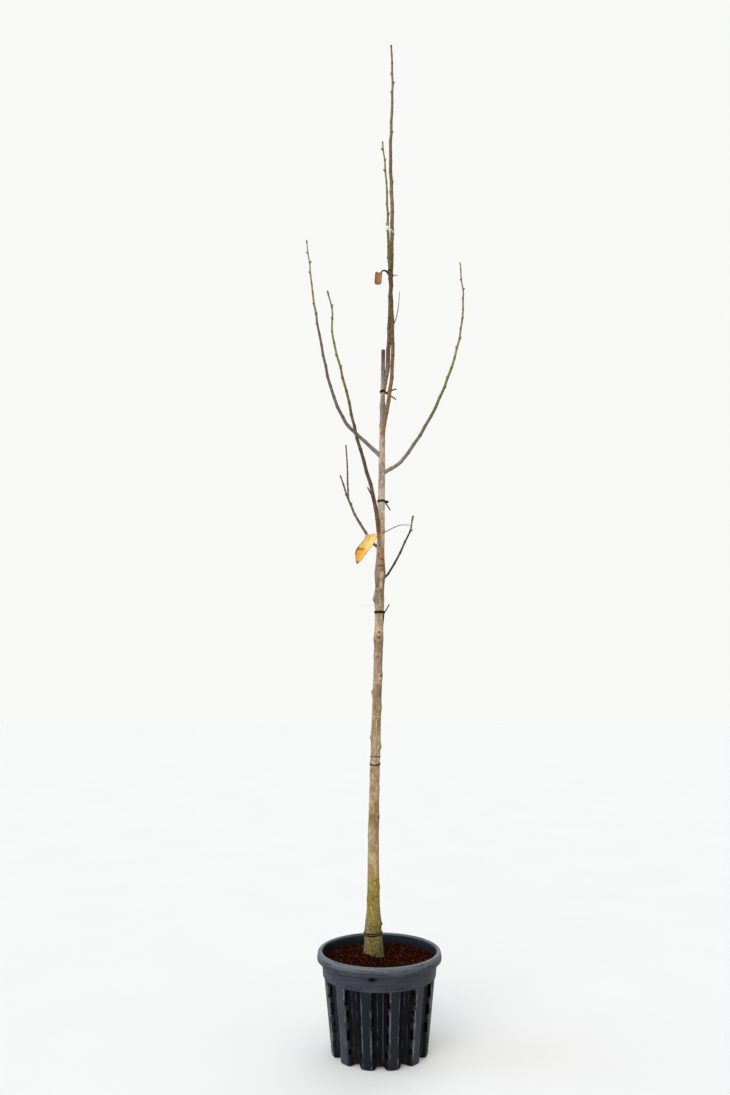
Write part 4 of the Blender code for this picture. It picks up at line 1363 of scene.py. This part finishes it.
def pot_rings(profile):
    """Rings of the whole pot, from the sole up the outside and down the inside."""
    rings = [wall_ring(profile, SOLE_RADIUS, 0.0, 0.0)]
    corner = ((0.0, 1.0), (0.10, 0.62), (0.30, 0.30), (0.60, 0.08), (1.0, 0.0))
    for rise, inset in corner:
        radius = FLUTE_FOOT_RADIUS - SOLE_EDGE * inset
        rings.append(wall_ring(profile, radius, SOLE_EDGE * rise, 1.0, GROOVE_FOOT, 1.0))
    for i in range(1, FLUTE_STEPS + 1):
        height = SOLE_EDGE + (FLUTE_TOP - FLUTE_ROUNDING - SOLE_EDGE) * i / FLUTE_STEPS
        share = height / FLUTE_TOP
        radius = flute_radius(share)
        broad = max(0.0, 1 - (height - SOLE_EDGE) / BROAD_REACH)
        rings.append(wall_ring(profile, radius, height, 1.0, GROOVE_FOOT * max(0.0, 1 - i / 4), broad))
    for share, flute in ((0.35, 0.97), (0.7, 0.88), (0.9, 0.72), (0.97, 0.45)):
        height = FLUTE_TOP - FLUTE_ROUNDING + FLUTE_ROUNDING * share
        radius = flute_radius(height / FLUTE_TOP)
        rings.append(wall_ring(profile, radius, height, flute))
    collar = (
        (COLLAR_FOOT_RADIUS - 0.0030, FLUTE_TOP),
        (COLLAR_FOOT_RADIUS - 0.0008, FLUTE_TOP + 0.0006),
        (COLLAR_FOOT_RADIUS, FLUTE_TOP + 0.0025),
        ((COLLAR_FOOT_RADIUS + COLLAR_TOP_RADIUS) / 2, (FLUTE_TOP + LIP_FOOT) / 2),
        (COLLAR_TOP_RADIUS - 0.0005, LIP_FOOT - 0.006),
        (COLLAR_TOP_RADIUS + 0.0008, LIP_FOOT - 0.002),
        (COLLAR_TOP_RADIUS + 0.004, LIP_FOOT),
        (LIP_RADIUS - 0.0035, LIP_FOOT - 0.0002),
        (LIP_RADIUS - 0.0012, LIP_FOOT + 0.0010),
        (LIP_RADIUS - 0.0002, LIP_FOOT + 0.0040),
        (LIP_RADIUS, LIP_FOOT + 0.012),
        (LIP_RADIUS - 0.0022, POT_HEIGHT - 0.010),
        (LIP_RADIUS - 0.0040, POT_HEIGHT - 0.0045),
        (LIP_RADIUS - 0.0075, POT_HEIGHT - 0.0012),
        (LIP_RADIUS - 0.0115, POT_HEIGHT),
        (MOUTH_RADIUS + 0.0040, POT_HEIGHT - 0.0012),
        (MOUTH_RADIUS + 0.0010, POT_HEIGHT - 0.0040),
        (MOUTH_RADIUS, POT_HEIGHT - 0.0085),
        (COLLAR_TOP_RADIUS - WALL, LIP_FOOT),
        (COLLAR_FOOT_RADIUS - WALL, FLUTE_TOP + WALL),
    )
    rings += [wall_ring(profile, radius, height, 0.0) for radius, height in collar]
    for i in range(9):
        share = 1 - i / 8
        height = INNER_FOOT + (FLUTE_TOP + WALL - INNER_FOOT) * share
        radius = flute_radius(share) - LINING
        rings.append(wall_ring(profile, radius, height, 1.0, GROOVE_FOOT * (i == 8)))
    rings.append(wall_ring(profile, SOLE_RADIUS, WALL, 0.0))
    return rings


def slot_growths():
    """(place, heading, height) of every slot in the pot's flanks, by the rule of the solids."""
    rise = math.atan2(GROOVE_DEPTH, math.radians(HALF_LOBE[3][0] - HALF_LOBE[2][0]) * FLUTE_TOP_RADIUS)
    slots = []
    for foot, head in SLOT_ROWS:
        share = (foot + head) / 2 / FLUTE_TOP
        radius = flute_radius(share) - SLOT_DEPTH
        for lobe in range(LOBES):
            for side in (-1, 1):
                angle = math.radians(360 / LOBES * (lobe + 0.5) + side * SLOT_DEGREES)
                place = Vector((radius * math.cos(angle), radius * math.sin(angle), (foot + head) / 2))
                facing = angle + side * rise
                slots.append((place, facing, head - foot))
    return slots


def slot_cutter_tree():
    """Boxes on points that carry their bearing and their height."""
    graph, entry = new_tree(
        "slots", width=("Float", SLOT_WIDTH), reach=("Float", SLOT_REACH), material=("Material", None)
    )
    facing = graph.node("GeometryNodeInputNamedAttribute", None, {"Name": "bearing"})
    tall = graph.node("GeometryNodeInputNamedAttribute", None, {"Name": "tall"})
    box = graph.node("GeometryNodeMeshCube", None, {"Size": (1.0, 1.0, 1.0)})
    turn = graph.node("ShaderNodeCombineXYZ", None, {"Z": facing})
    scale = graph.node("ShaderNodeCombineXYZ", None, {"X": entry["Reach"], "Y": entry["Width"], "Z": tall})
    sockets = {"Points": entry["Geometry"], "Instance": box, "Rotation": turn, "Scale": scale}
    placed = graph.node("GeometryNodeInstanceOnPoints", None, sockets)
    return end_tree(graph, placed, entry["Material"])


def add_pot(finish):
    """The fluted pot, with every slot cut through its wall."""
    profile = lobe_profile()
    rings = pot_rings(profile)
    mesh = skin("pot", rings, sharp=POT_SHARP)
    flutes = [ring[0][2] < FLUTE_TOP for ring in rings]
    mouth = max(range(len(rings)), key=lambda i: rings[i][0][2]) + 2
    # How far each point stands out of the grooves; the finish darkens the grooves by it as painted shade
    paint(mesh, "proud", [1 - spot.depth / GROOVE_DEPTH for _ in rings for spot in profile])
    # Painted highlight on the corners of lobes and ribs, on the flutes only
    paint(mesh, "rubbed", [spot.rubbed * flute for flute in flutes for spot in profile])
    # Each lobe's dust, with a painted reflection in it; the collar dusty all round
    paint(mesh, "dust", [spot.dust if flute else 1.0 for flute in flutes for spot in profile])
    # The wall inside the mouth, which the finish darkens as painted shade
    paint(mesh, "inside", [float(i > mouth) for i in range(len(rings)) for _ in profile])
    pot = new_object("pot_uncut", mesh)
    slots = slot_growths()
    points = bpy.data.meshes.new("slot_points")
    points.from_pydata([place for place, _, _ in slots], [], [])
    paint(points, "bearing", [facing for _, facing, _ in slots])
    paint(points, "tall", [height for _, _, height in slots])
    boxes = grown("slot_boxes", points, slot_cutter_tree(), material=finish)
    cutter = new_object("slot_cutter", boxes)
    cut = pot.modifiers.new("slots", "BOOLEAN")
    cut.operation = "DIFFERENCE"
    cut.object = cutter
    cut.solver = "MANIFOLD"
    done = evaluated_mesh(pot)
    pot.modifiers.clear()
    bpy.data.objects.remove(cutter)
    bpy.data.objects.remove(pot)
    done.shade_smooth()
    done.set_sharp_from_angle(angle=math.radians(POT_SHARP))
    add_piece("fluted_pot", done, finish, "pot_plastic", "pot")


def mound_height(x, y):
    """Height of the compost's top: nearly level, raised at the trunk, and lumpy."""
    from_trunk = math.hypot(x + 0.024, y)
    from_heap = math.hypot(x - HEAP_PLACE[0], y - HEAP_PLACE[1])
    rise = (SOIL_MOUND - SOIL_LEVEL + 0.001) * swelling(from_trunk, MOUND_HALF)
    rise += HEAPED * swelling(from_heap, HEAP_HALF)
    lumps = 0.003 * noise.noise(Vector((x * 22, y * 22, 3)))
    lumps += 0.0016 * noise.noise(Vector((x * 70, y * 70, 5)))
    return SOIL_LEVEL - 0.002 + rise + lumps


def add_compost(finish):
    """The root ball inside the pot, and the crumbly top of the compost."""
    gap = LINING + 0.0012
    profile = lobe_profile()
    rings = []
    for share in (0.0, 0.12, 0.25, 0.4, 0.55, 0.7, 0.82, 0.91, 0.97, 1.0):
        reach = (COLLAR_TOP_RADIUS - WALL - 0.001) * share
        ring = []
        for spot in profile:
            x = (reach + 0.0001) * math.cos(spot.angle)
            y = (reach + 0.0001) * math.sin(spot.angle)
            ring.append((x, y, mound_height(x, y)))
        rings.append(ring)
    top = skin("compost_top", list(reversed(rings)), closed_ends=False)
    rings.append(wall_ring(profile, COLLAR_FOOT_RADIUS - WALL - 0.001, FLUTE_TOP + WALL, 0.0))
    steps = 40
    for i in range(steps + 1):
        share = 1 - i / steps
        height = INNER_FOOT + SOIL_CLEAR + (FLUTE_TOP + WALL - INNER_FOOT) * share
        radius = flute_radius(share) - gap
        ring = []
        for x, y, z in wall_ring(profile, radius, height, 1.0, GROOVE_FOOT * (i == steps)):
            lump = 1 + 0.006 * noise.noise(Vector((x * 90, y * 90, z * 90))) - 0.004
            ring.append((x * lump, y * lump, z))
        rings.append(ring)
    rings.append(wall_ring(profile, SOLE_RADIUS, WALL + SOIL_CLEAR, 0.0))
    mesh = skin("root_ball", list(reversed(rings)))
    add_piece("root_ball", mesh, finish, "compost", "compost")
    return top


def crumb_mesh(name, radius, flat, rule, least, most):
    """A flattened ball with each of its corners moved in or out at random."""
    ball = bmesh.new()
    bmesh.ops.create_icosphere(ball, subdivisions=1, radius=radius)
    for vertex in ball.verts:
        vertex.co = vertex.co * rule.uniform(least, most) * flat
    mesh = bpy.data.meshes.new(name)
    ball.to_mesh(mesh)
    ball.free()
    return mesh


def add_crumbs(top, tree):
    """Bark chips and crumbs strewn over the compost."""
    finishes = (
        compost_finish("dark_chip", (0.0015, 0.0004, 0.0003), (0.012, 0.0016, 0.0008), 220),
        compost_finish("red_chip", (0.016, 0.0022, 0.001), (0.105, 0.018, 0.008), 220),
        compost_finish("tan_chip", (0.080, 0.026, 0.014), (0.190, 0.075, 0.045), 220),
        compost_finish("pale_crumb", (0.300, 0.140, 0.100), (0.560, 0.360, 0.300), 220),
    )
    shapes = bpy.data.collections.new("chip_shapes")
    bpy.context.scene.collection.children.link(shapes)
    rule = random.Random(CHIP_SEED)
    for number in range(CHIP_SHAPES):
        flat = Vector((1.0, rule.uniform(0.45, 0.8), rule.uniform(0.22, 0.5)))
        mesh = crumb_mesh(f"chip_{number}", 0.5, flat, rule, 0.75, 1.15)
        shapes.objects.link(bpy.data.objects.new(f"chip_{number}", mesh))
    for (name, density, size, seed), finish in zip(CHIPS, finishes):
        settings = {"shapes": shapes, "density": float(density), "size": size, "seed": seed}
        mesh = grown(name, top.copy(), tree, material=finish, **settings)
        add_piece(name, mesh, finish, "compost")
    for shape in list(shapes.objects):
        bpy.data.objects.remove(shape)
    bpy.data.collections.remove(shapes)


def add_splash(tree, finish):
    """A splash of wet earth on the front of the pot's collar, a few crumbs thick."""
    rule = random.Random(SPLASH_SEED)
    growths = []
    for _ in range(SPLASH_CRUMBS):
        out = abs(rule.gauss(0, 1))
        turn = rule.uniform(0, math.tau)
        angle = SPLASH_TURN + SPLASH_REACH * out * math.cos(turn) / COLLAR_TOP_RADIUS
        height = SPLASH_HEIGHT + 0.75 * SPLASH_REACH * out * math.sin(turn)
        share = (height - FLUTE_TOP) / (LIP_FOOT - FLUTE_TOP)
        radius = COLLAR_FOOT_RADIUS + share * (COLLAR_TOP_RADIUS - COLLAR_FOOT_RADIUS) + 0.0002
        outward = bearing(angle)
        size = rule.uniform(0.4, 1.0) / (1 + out)
        growths.append((outward * radius + Vector((0, 0, height)), outward, size))
    mesh = crumb_mesh("splash_crumb", SPLASH_CRUMB, Vector((1, 1, 0.35)), rule, 0.7, 1.2)
    shape = new_object("splash_crumb", mesh)
    mesh = grown("collar_splash", points_mesh("collar_splash", growths), tree, shape=shape, material=finish)
    bpy.data.objects.remove(shape)
    add_piece("collar_splash", mesh, finish, "compost")


def add_roots(tree, finish):
    """Roots that wander behind the pot's slots."""
    rule = random.Random(ROOT_SEED)
    slots = slot_growths()
    chains = []
    for number in range(ROOTS):
        place, facing, tall = slots[rule.randrange(len(slots))]
        inward = bearing(facing)
        across = Vector((-math.sin(facing), math.cos(facing), 0))
        start = place - inward * rule.uniform(0.0045, 0.0075) + across * rule.uniform(-0.006, 0.006)
        lean = rule.uniform(-0.35, 0.35)
        length = tall * rule.uniform(0.7, 1.1)
        radius = ROOT_RADIUS * rule.uniform(0.5, 1.3)
        chain = []
        for i in range(ROOT_STEPS):
            share = i / (ROOT_STEPS - 1)
            height = length * (share - 0.5)
            wander = 0.0035 * noise.noise(Vector((number * 3.7, share * 3.0, 0.5)))
            point = start + Vector((0, 0, height)) + across * (lean * height + wander)
            chain.append((point, radius, share, 0.0))
        chains.append(chain)
    path = chains_mesh("roots", chains)
    mesh = grown("roots", path, tree, sides=6, relief=0.0003, grain=500.0, material=finish)
    add_piece("roots", mesh, finish, "compost")


def twisted_end(start, tail, wire, twists=TWISTS):
    """A loose end of wire twisted on itself."""
    chain = []
    for i in range(9 * twists + 1):
        share = i / (9 * twists)
        spin = math.tau * twists * share
        coil = Vector((0, math.cos(spin) - 1, math.sin(spin))) * TWIST_REACH
        chain.append((start + Vector(tail) * share + coil, wire * (0.82 - 0.15 * share), 0.5, 0.0))
    return chain


def tie_chains(tie):
    """A wire's turns round the trunk, snug to the bark, its twisted ends and its knot."""
    turns = []
    steps = 36 * tie.turns
    for i in range(steps + 1):
        angle = math.tau * tie.turns * i / steps
        height = tie.height + tie.pitch * (i / 36 - tie.turns / 2) + tie.dip * math.sin(angle)
        reach = trunk_plain_radius(height, angle) + trunk_bumps(height, angle) + tie.wire * 0.4
        out = bearing(angle) * reach
        turns.append((trunk_centre(height) + out, tie.wire / 2, 0.5, 0.0))
    start = turns[0][0]
    chains = [turns] + [twisted_end(start, tail, tie.wire) for tail in tie.tails]
    if tie.knot:
        knot = []
        for i in range(40):
            share = i / 39
            spin = math.tau * 4 * share
            coil = Vector((0.004 + KNOT_REACH * math.cos(spin), -0.004, KNOT_REACH * math.sin(spin)))
            point = start + coil + Vector((0.006 * share, -0.004 * share, 0.002))
            knot.append((point, tie.wire * 0.6, 0.5, 0.0))
        chains.append(knot)
    return chains


def limb_at(name, height):
    """Where a limb passes a height, and its radius there."""
    limb = next(one for one in LIMBS if one.name == name)
    curve = curve_through(limb.via)
    way = next(travelled for point, travelled in zip(*curve) if point.z >= height)
    return kinked(curve, way), limb_radius(limb, way / curve[1][-1], way)


def loop_round(limbs, height, thick, turns, pitch):
    """Turns of cord stretched round one limb or more at a height."""
    rounds = []
    for name in limbs:
        centre, radius = limb_at(name, height)
        rounds.append((Vector((centre.x, centre.y, 0)), radius + thick * 0.45))
    chain = []
    steps = 40 * turns
    for i in range(steps + 1):
        angle = math.tau * i / 40 - 1.2
        out = bearing(angle)
        place = max((centre + out * radius for centre, radius in rounds), key=out.dot)
        rise = height + pitch * (i / 40 - turns / 2)
        chain.append((place + Vector((0, 0, rise)), thick / 2, 0.5, 0.0))
    return chain


def add_ties(tree):
    """Wire ties round the trunk, a green one and a white string higher up, and a thread."""
    wire = wire_finish("tie_wire", (0.004, 0.0035, 0.0035), (0.026, 0.016, 0.011))
    pieces = [(tie.name, tie_chains(tie), wire) for tie in TIES]
    height, thick, turns = PAIR_TIE
    loop = loop_round(("side", "leader"), height, thick, turns, thick)
    edge = max((point for point, _, _, _ in loop), key=lambda point: point.x)
    green = [loop, twisted_end(edge, (0.020, -0.002, 0.004), 0.0020, 2)]
    coat = wire_finish("tie_green", (0.012, 0.018, 0.009), (0.050, 0.058, 0.030))
    pieces.append(("tie_green", green, coat))
    height, thick, turns = STRING_TIE
    curls = loop_round(("side",), height, thick, turns, 0.0050)
    both = loop_round(("side", "leader"), height + 0.006, thick, 1, 0.001)
    start = curls[-1][0]
    strands = []
    for tail in STRING_TAILS:
        strand = []
        for i in range(12):
            share = i / 11
            sag = Vector((0, 0, 0.006 * math.sin(math.pi * share)))
            strand.append((start + Vector(tail) * share + sag, STRAND_RADIUS, 0.5, 0.0))
        strands.append(strand)
    pieces.append(("tie_string", [curls, both] + strands, string_finish()))
    edge = trunk_centre(THREAD_HEIGHT) - Vector((trunk_plain_radius(THREAD_HEIGHT, math.pi), 0, 0))
    thread = [
        (edge + Vector((0.002 - 0.0065 * i, -0.0004 * i, 0)), STRAND_RADIUS, 0.5, 0.0) for i in range(11)
    ]
    grey = string_finish("tie_thread", (0.330, 0.360, 0.370), (0.230, 0.260, 0.270))
    pieces.append(("tie_thread", [thread], grey))
    for name, chains, finish in pieces:
        path = chains_mesh(name, chains)
        mesh = grown(name, path, tree, sides=10, relief=0.0001, grain=300.0, material=finish)
        add_piece(name, mesh, finish, "pot_plastic")


def limb_finishes():
    """One bark for each limb, by its own colours from foot to tip."""
    return {
        "leader": bark_finish("leader_bark", (
            (0.00, (0.300, 0.130, 0.040)), (0.012, (0.240, 0.110, 0.040)), (0.026, (0.190, 0.150, 0.120)),
            (0.07, (0.114, 0.081, 0.050)),
            (0.12, (0.097, 0.054, 0.023)), (0.30, (0.070, 0.037, 0.012)), (0.40, (0.132, 0.091, 0.041)),
            (0.52, (0.176, 0.124, 0.074)), (0.62, (0.114, 0.087, 0.036)), (0.80, (0.167, 0.137, 0.053)),
            (1.00, (0.194, 0.149, 0.066)),
        ), silver=0.25, drift=0.03),
        "side": bark_finish("side_bark", (
            (0.00, (0.300, 0.120, 0.035)), (0.020, (0.240, 0.120, 0.040)), (0.035, (0.150, 0.110, 0.070)),
            (0.12, (0.170, 0.105, 0.026)), (0.30, (0.110, 0.062, 0.014)), (0.50, (0.062, 0.034, 0.009)),
            (0.60, (0.115, 0.105, 0.012)), (0.80, (0.155, 0.145, 0.016)), (1.00, (0.195, 0.195, 0.026)),
        ), silver=0.12, satin=0.12, drift=0.03),
        "high_left": bark_finish("high_left_bark", (
            (0.00, (0.200, 0.165, 0.150)), (0.20, (0.110, 0.080, 0.060)), (0.45, (0.104, 0.080, 0.060)),
            (0.60, (0.110, 0.070, 0.042)), (0.70, (0.165, 0.165, 0.024)), (1.00, (0.215, 0.235, 0.030)),
        )),
        "high_right": bark_finish("high_right_bark", (
            (0.00, (0.230, 0.175, 0.160)), (0.16, (0.132, 0.122, 0.066)), (0.32, (0.100, 0.104, 0.036)),
            (0.60, (0.195, 0.195, 0.045)), (0.82, (0.185, 0.142, 0.046)), (1.00, (0.202, 0.129, 0.053)),
        )),
        "mid_left": bark_finish("mid_left_bark", (
            (0.00, (0.150, 0.085, 0.050)), (0.08, (0.132, 0.052, 0.016)), (0.18, (0.084, 0.046, 0.026)),
            (0.36, (0.070, 0.052, 0.016)), (0.50, (0.080, 0.062, 0.005)), (0.62, (0.125, 0.130, 0.008)),
            (0.84, (0.165, 0.185, 0.012)), (1.00, (0.150, 0.160, 0.016)),
        ), silver=0.12, satin=0.12),
        "low_left": bark_finish("low_left_bark", (
            (0.00, (0.150, 0.090, 0.050)), (0.25, (0.097, 0.083, 0.062)), (0.60, (0.084, 0.068, 0.051)),
            (0.85, (0.106, 0.071, 0.048)), (1.00, (0.097, 0.058, 0.030)),
        )),
        "low_right": bark_finish("low_right_bark", (
            (0.00, (0.150, 0.100, 0.070)), (0.12, (0.035, 0.028, 0.021)), (0.55, (0.035, 0.027, 0.020)),
            (0.80, (0.079, 0.079, 0.023)), (0.90, (0.167, 0.187, 0.023)), (1.00, (0.150, 0.137, 0.026)),
        ), silver=0.10),
    }


def add_stage():
    """Pale floor, soft light from all round, and large soft lamps."""
    floor = bpy.data.meshes.new("floor")
    corners = [(x * FLOOR_REACH, y * FLOOR_REACH, 0) for x, y in ((-1, -1), (1, -1), (1, 1), (-1, 1))]
    floor.from_pydata(corners, [], [(0, 1, 2, 3)])
    floor.materials.append(floor_finish())
    new_object("floor", floor)
    world = bpy.data.worlds.new("studio")
    world.use_nodes = True
    background = world.node_tree.nodes["Background"]
    background.inputs["Color"].default_value = ROOM_COLOUR
    graph = Graph(world.node_tree)
    seen = graph.node("ShaderNodeLightPath", out="Is Camera Ray")
    graph.feed(background.inputs["Strength"], seen * (WALL_LIGHT - ROOM_LIGHT) + ROOM_LIGHT)
    bpy.context.scene.world = world
    for name, aim, strength, spread, colour in LAMPS:
        light = bpy.data.lights.new(name, "SUN")
        light.energy = strength
        light.angle = math.radians(spread)
        light.color = colour
        new_object(name, light).rotation_euler = Vector(aim).to_track_quat("-Z", "Y").to_euler()


def add_camera():
    camera = bpy.data.cameras.new("camera")
    camera.sensor_width = 36
    camera.lens = CAMERA_LENS
    holder = new_object("camera", camera)
    holder.location = CAMERA_PLACE
    holder.rotation_euler = (math.radians(CAMERA_TILT), 0, 0)
    bpy.context.scene.camera = holder


def main():
    add_camera()
    add_stage()
    bpy.context.scene.view_settings.view_transform = "Standard"
    tube = tube_tree()
    growth = growth_tree()
    add_pot(plastic_finish())
    top = add_compost(compost_finish("compost", EARTH, (0.014, 0.0035, 0.0020)))
    add_crumbs(top, scatter_tree())
    add_roots(tube, root_finish())
    add_splash(growth, compost_finish("wet_earth", (0.0006, 0.0005, 0.0006), (0.0070, 0.0050, 0.0042), 300))
    add_trunk(trunk_finish())
    finishes = limb_finishes()
    buds = []
    scars = []
    for limb in LIMBS:
        more_buds, more_scars = add_limb(limb, tube, finishes[limb.name])
        buds += more_buds
        scars += more_scars
    add_buds(growth, buds, scars)
    add_twigs(tube)
    yellow = leaf_finish(
        "leaf_yellow",
        ((0.0, (0.560, 0.360, 0.120)), (0.30, (0.700, 0.500, 0.170)), (0.50, (0.700, 0.480, 0.140)),
         (0.62, (0.720, 0.360, 0.030)), (0.85, (0.700, 0.330, 0.020)), (1.0, (0.400, 0.160, 0.020))),
        (0.150, 0.060, 0.030), (0.760, 0.600, 0.260), 0.10, (0.58, 0.07, (0.400, 0.120, 0.012)),
    )
    brown = leaf_finish(
        "leaf_brown",
        ((0.0, (0.090, 0.028, 0.010)), (0.25, (0.250, 0.095, 0.030)), (0.70, (0.290, 0.120, 0.040)),
         (1.0, (0.160, 0.065, 0.030))),
        (0.080, 0.030, 0.014), (0.360, 0.190, 0.090),
    )
    add_leaf(YELLOW_LEAF, tube, yellow, "leaf_yellow")
    add_leaf(DRY_LEAF, tube, brown, "leaf_brown")
    add_ties(tube)


main()
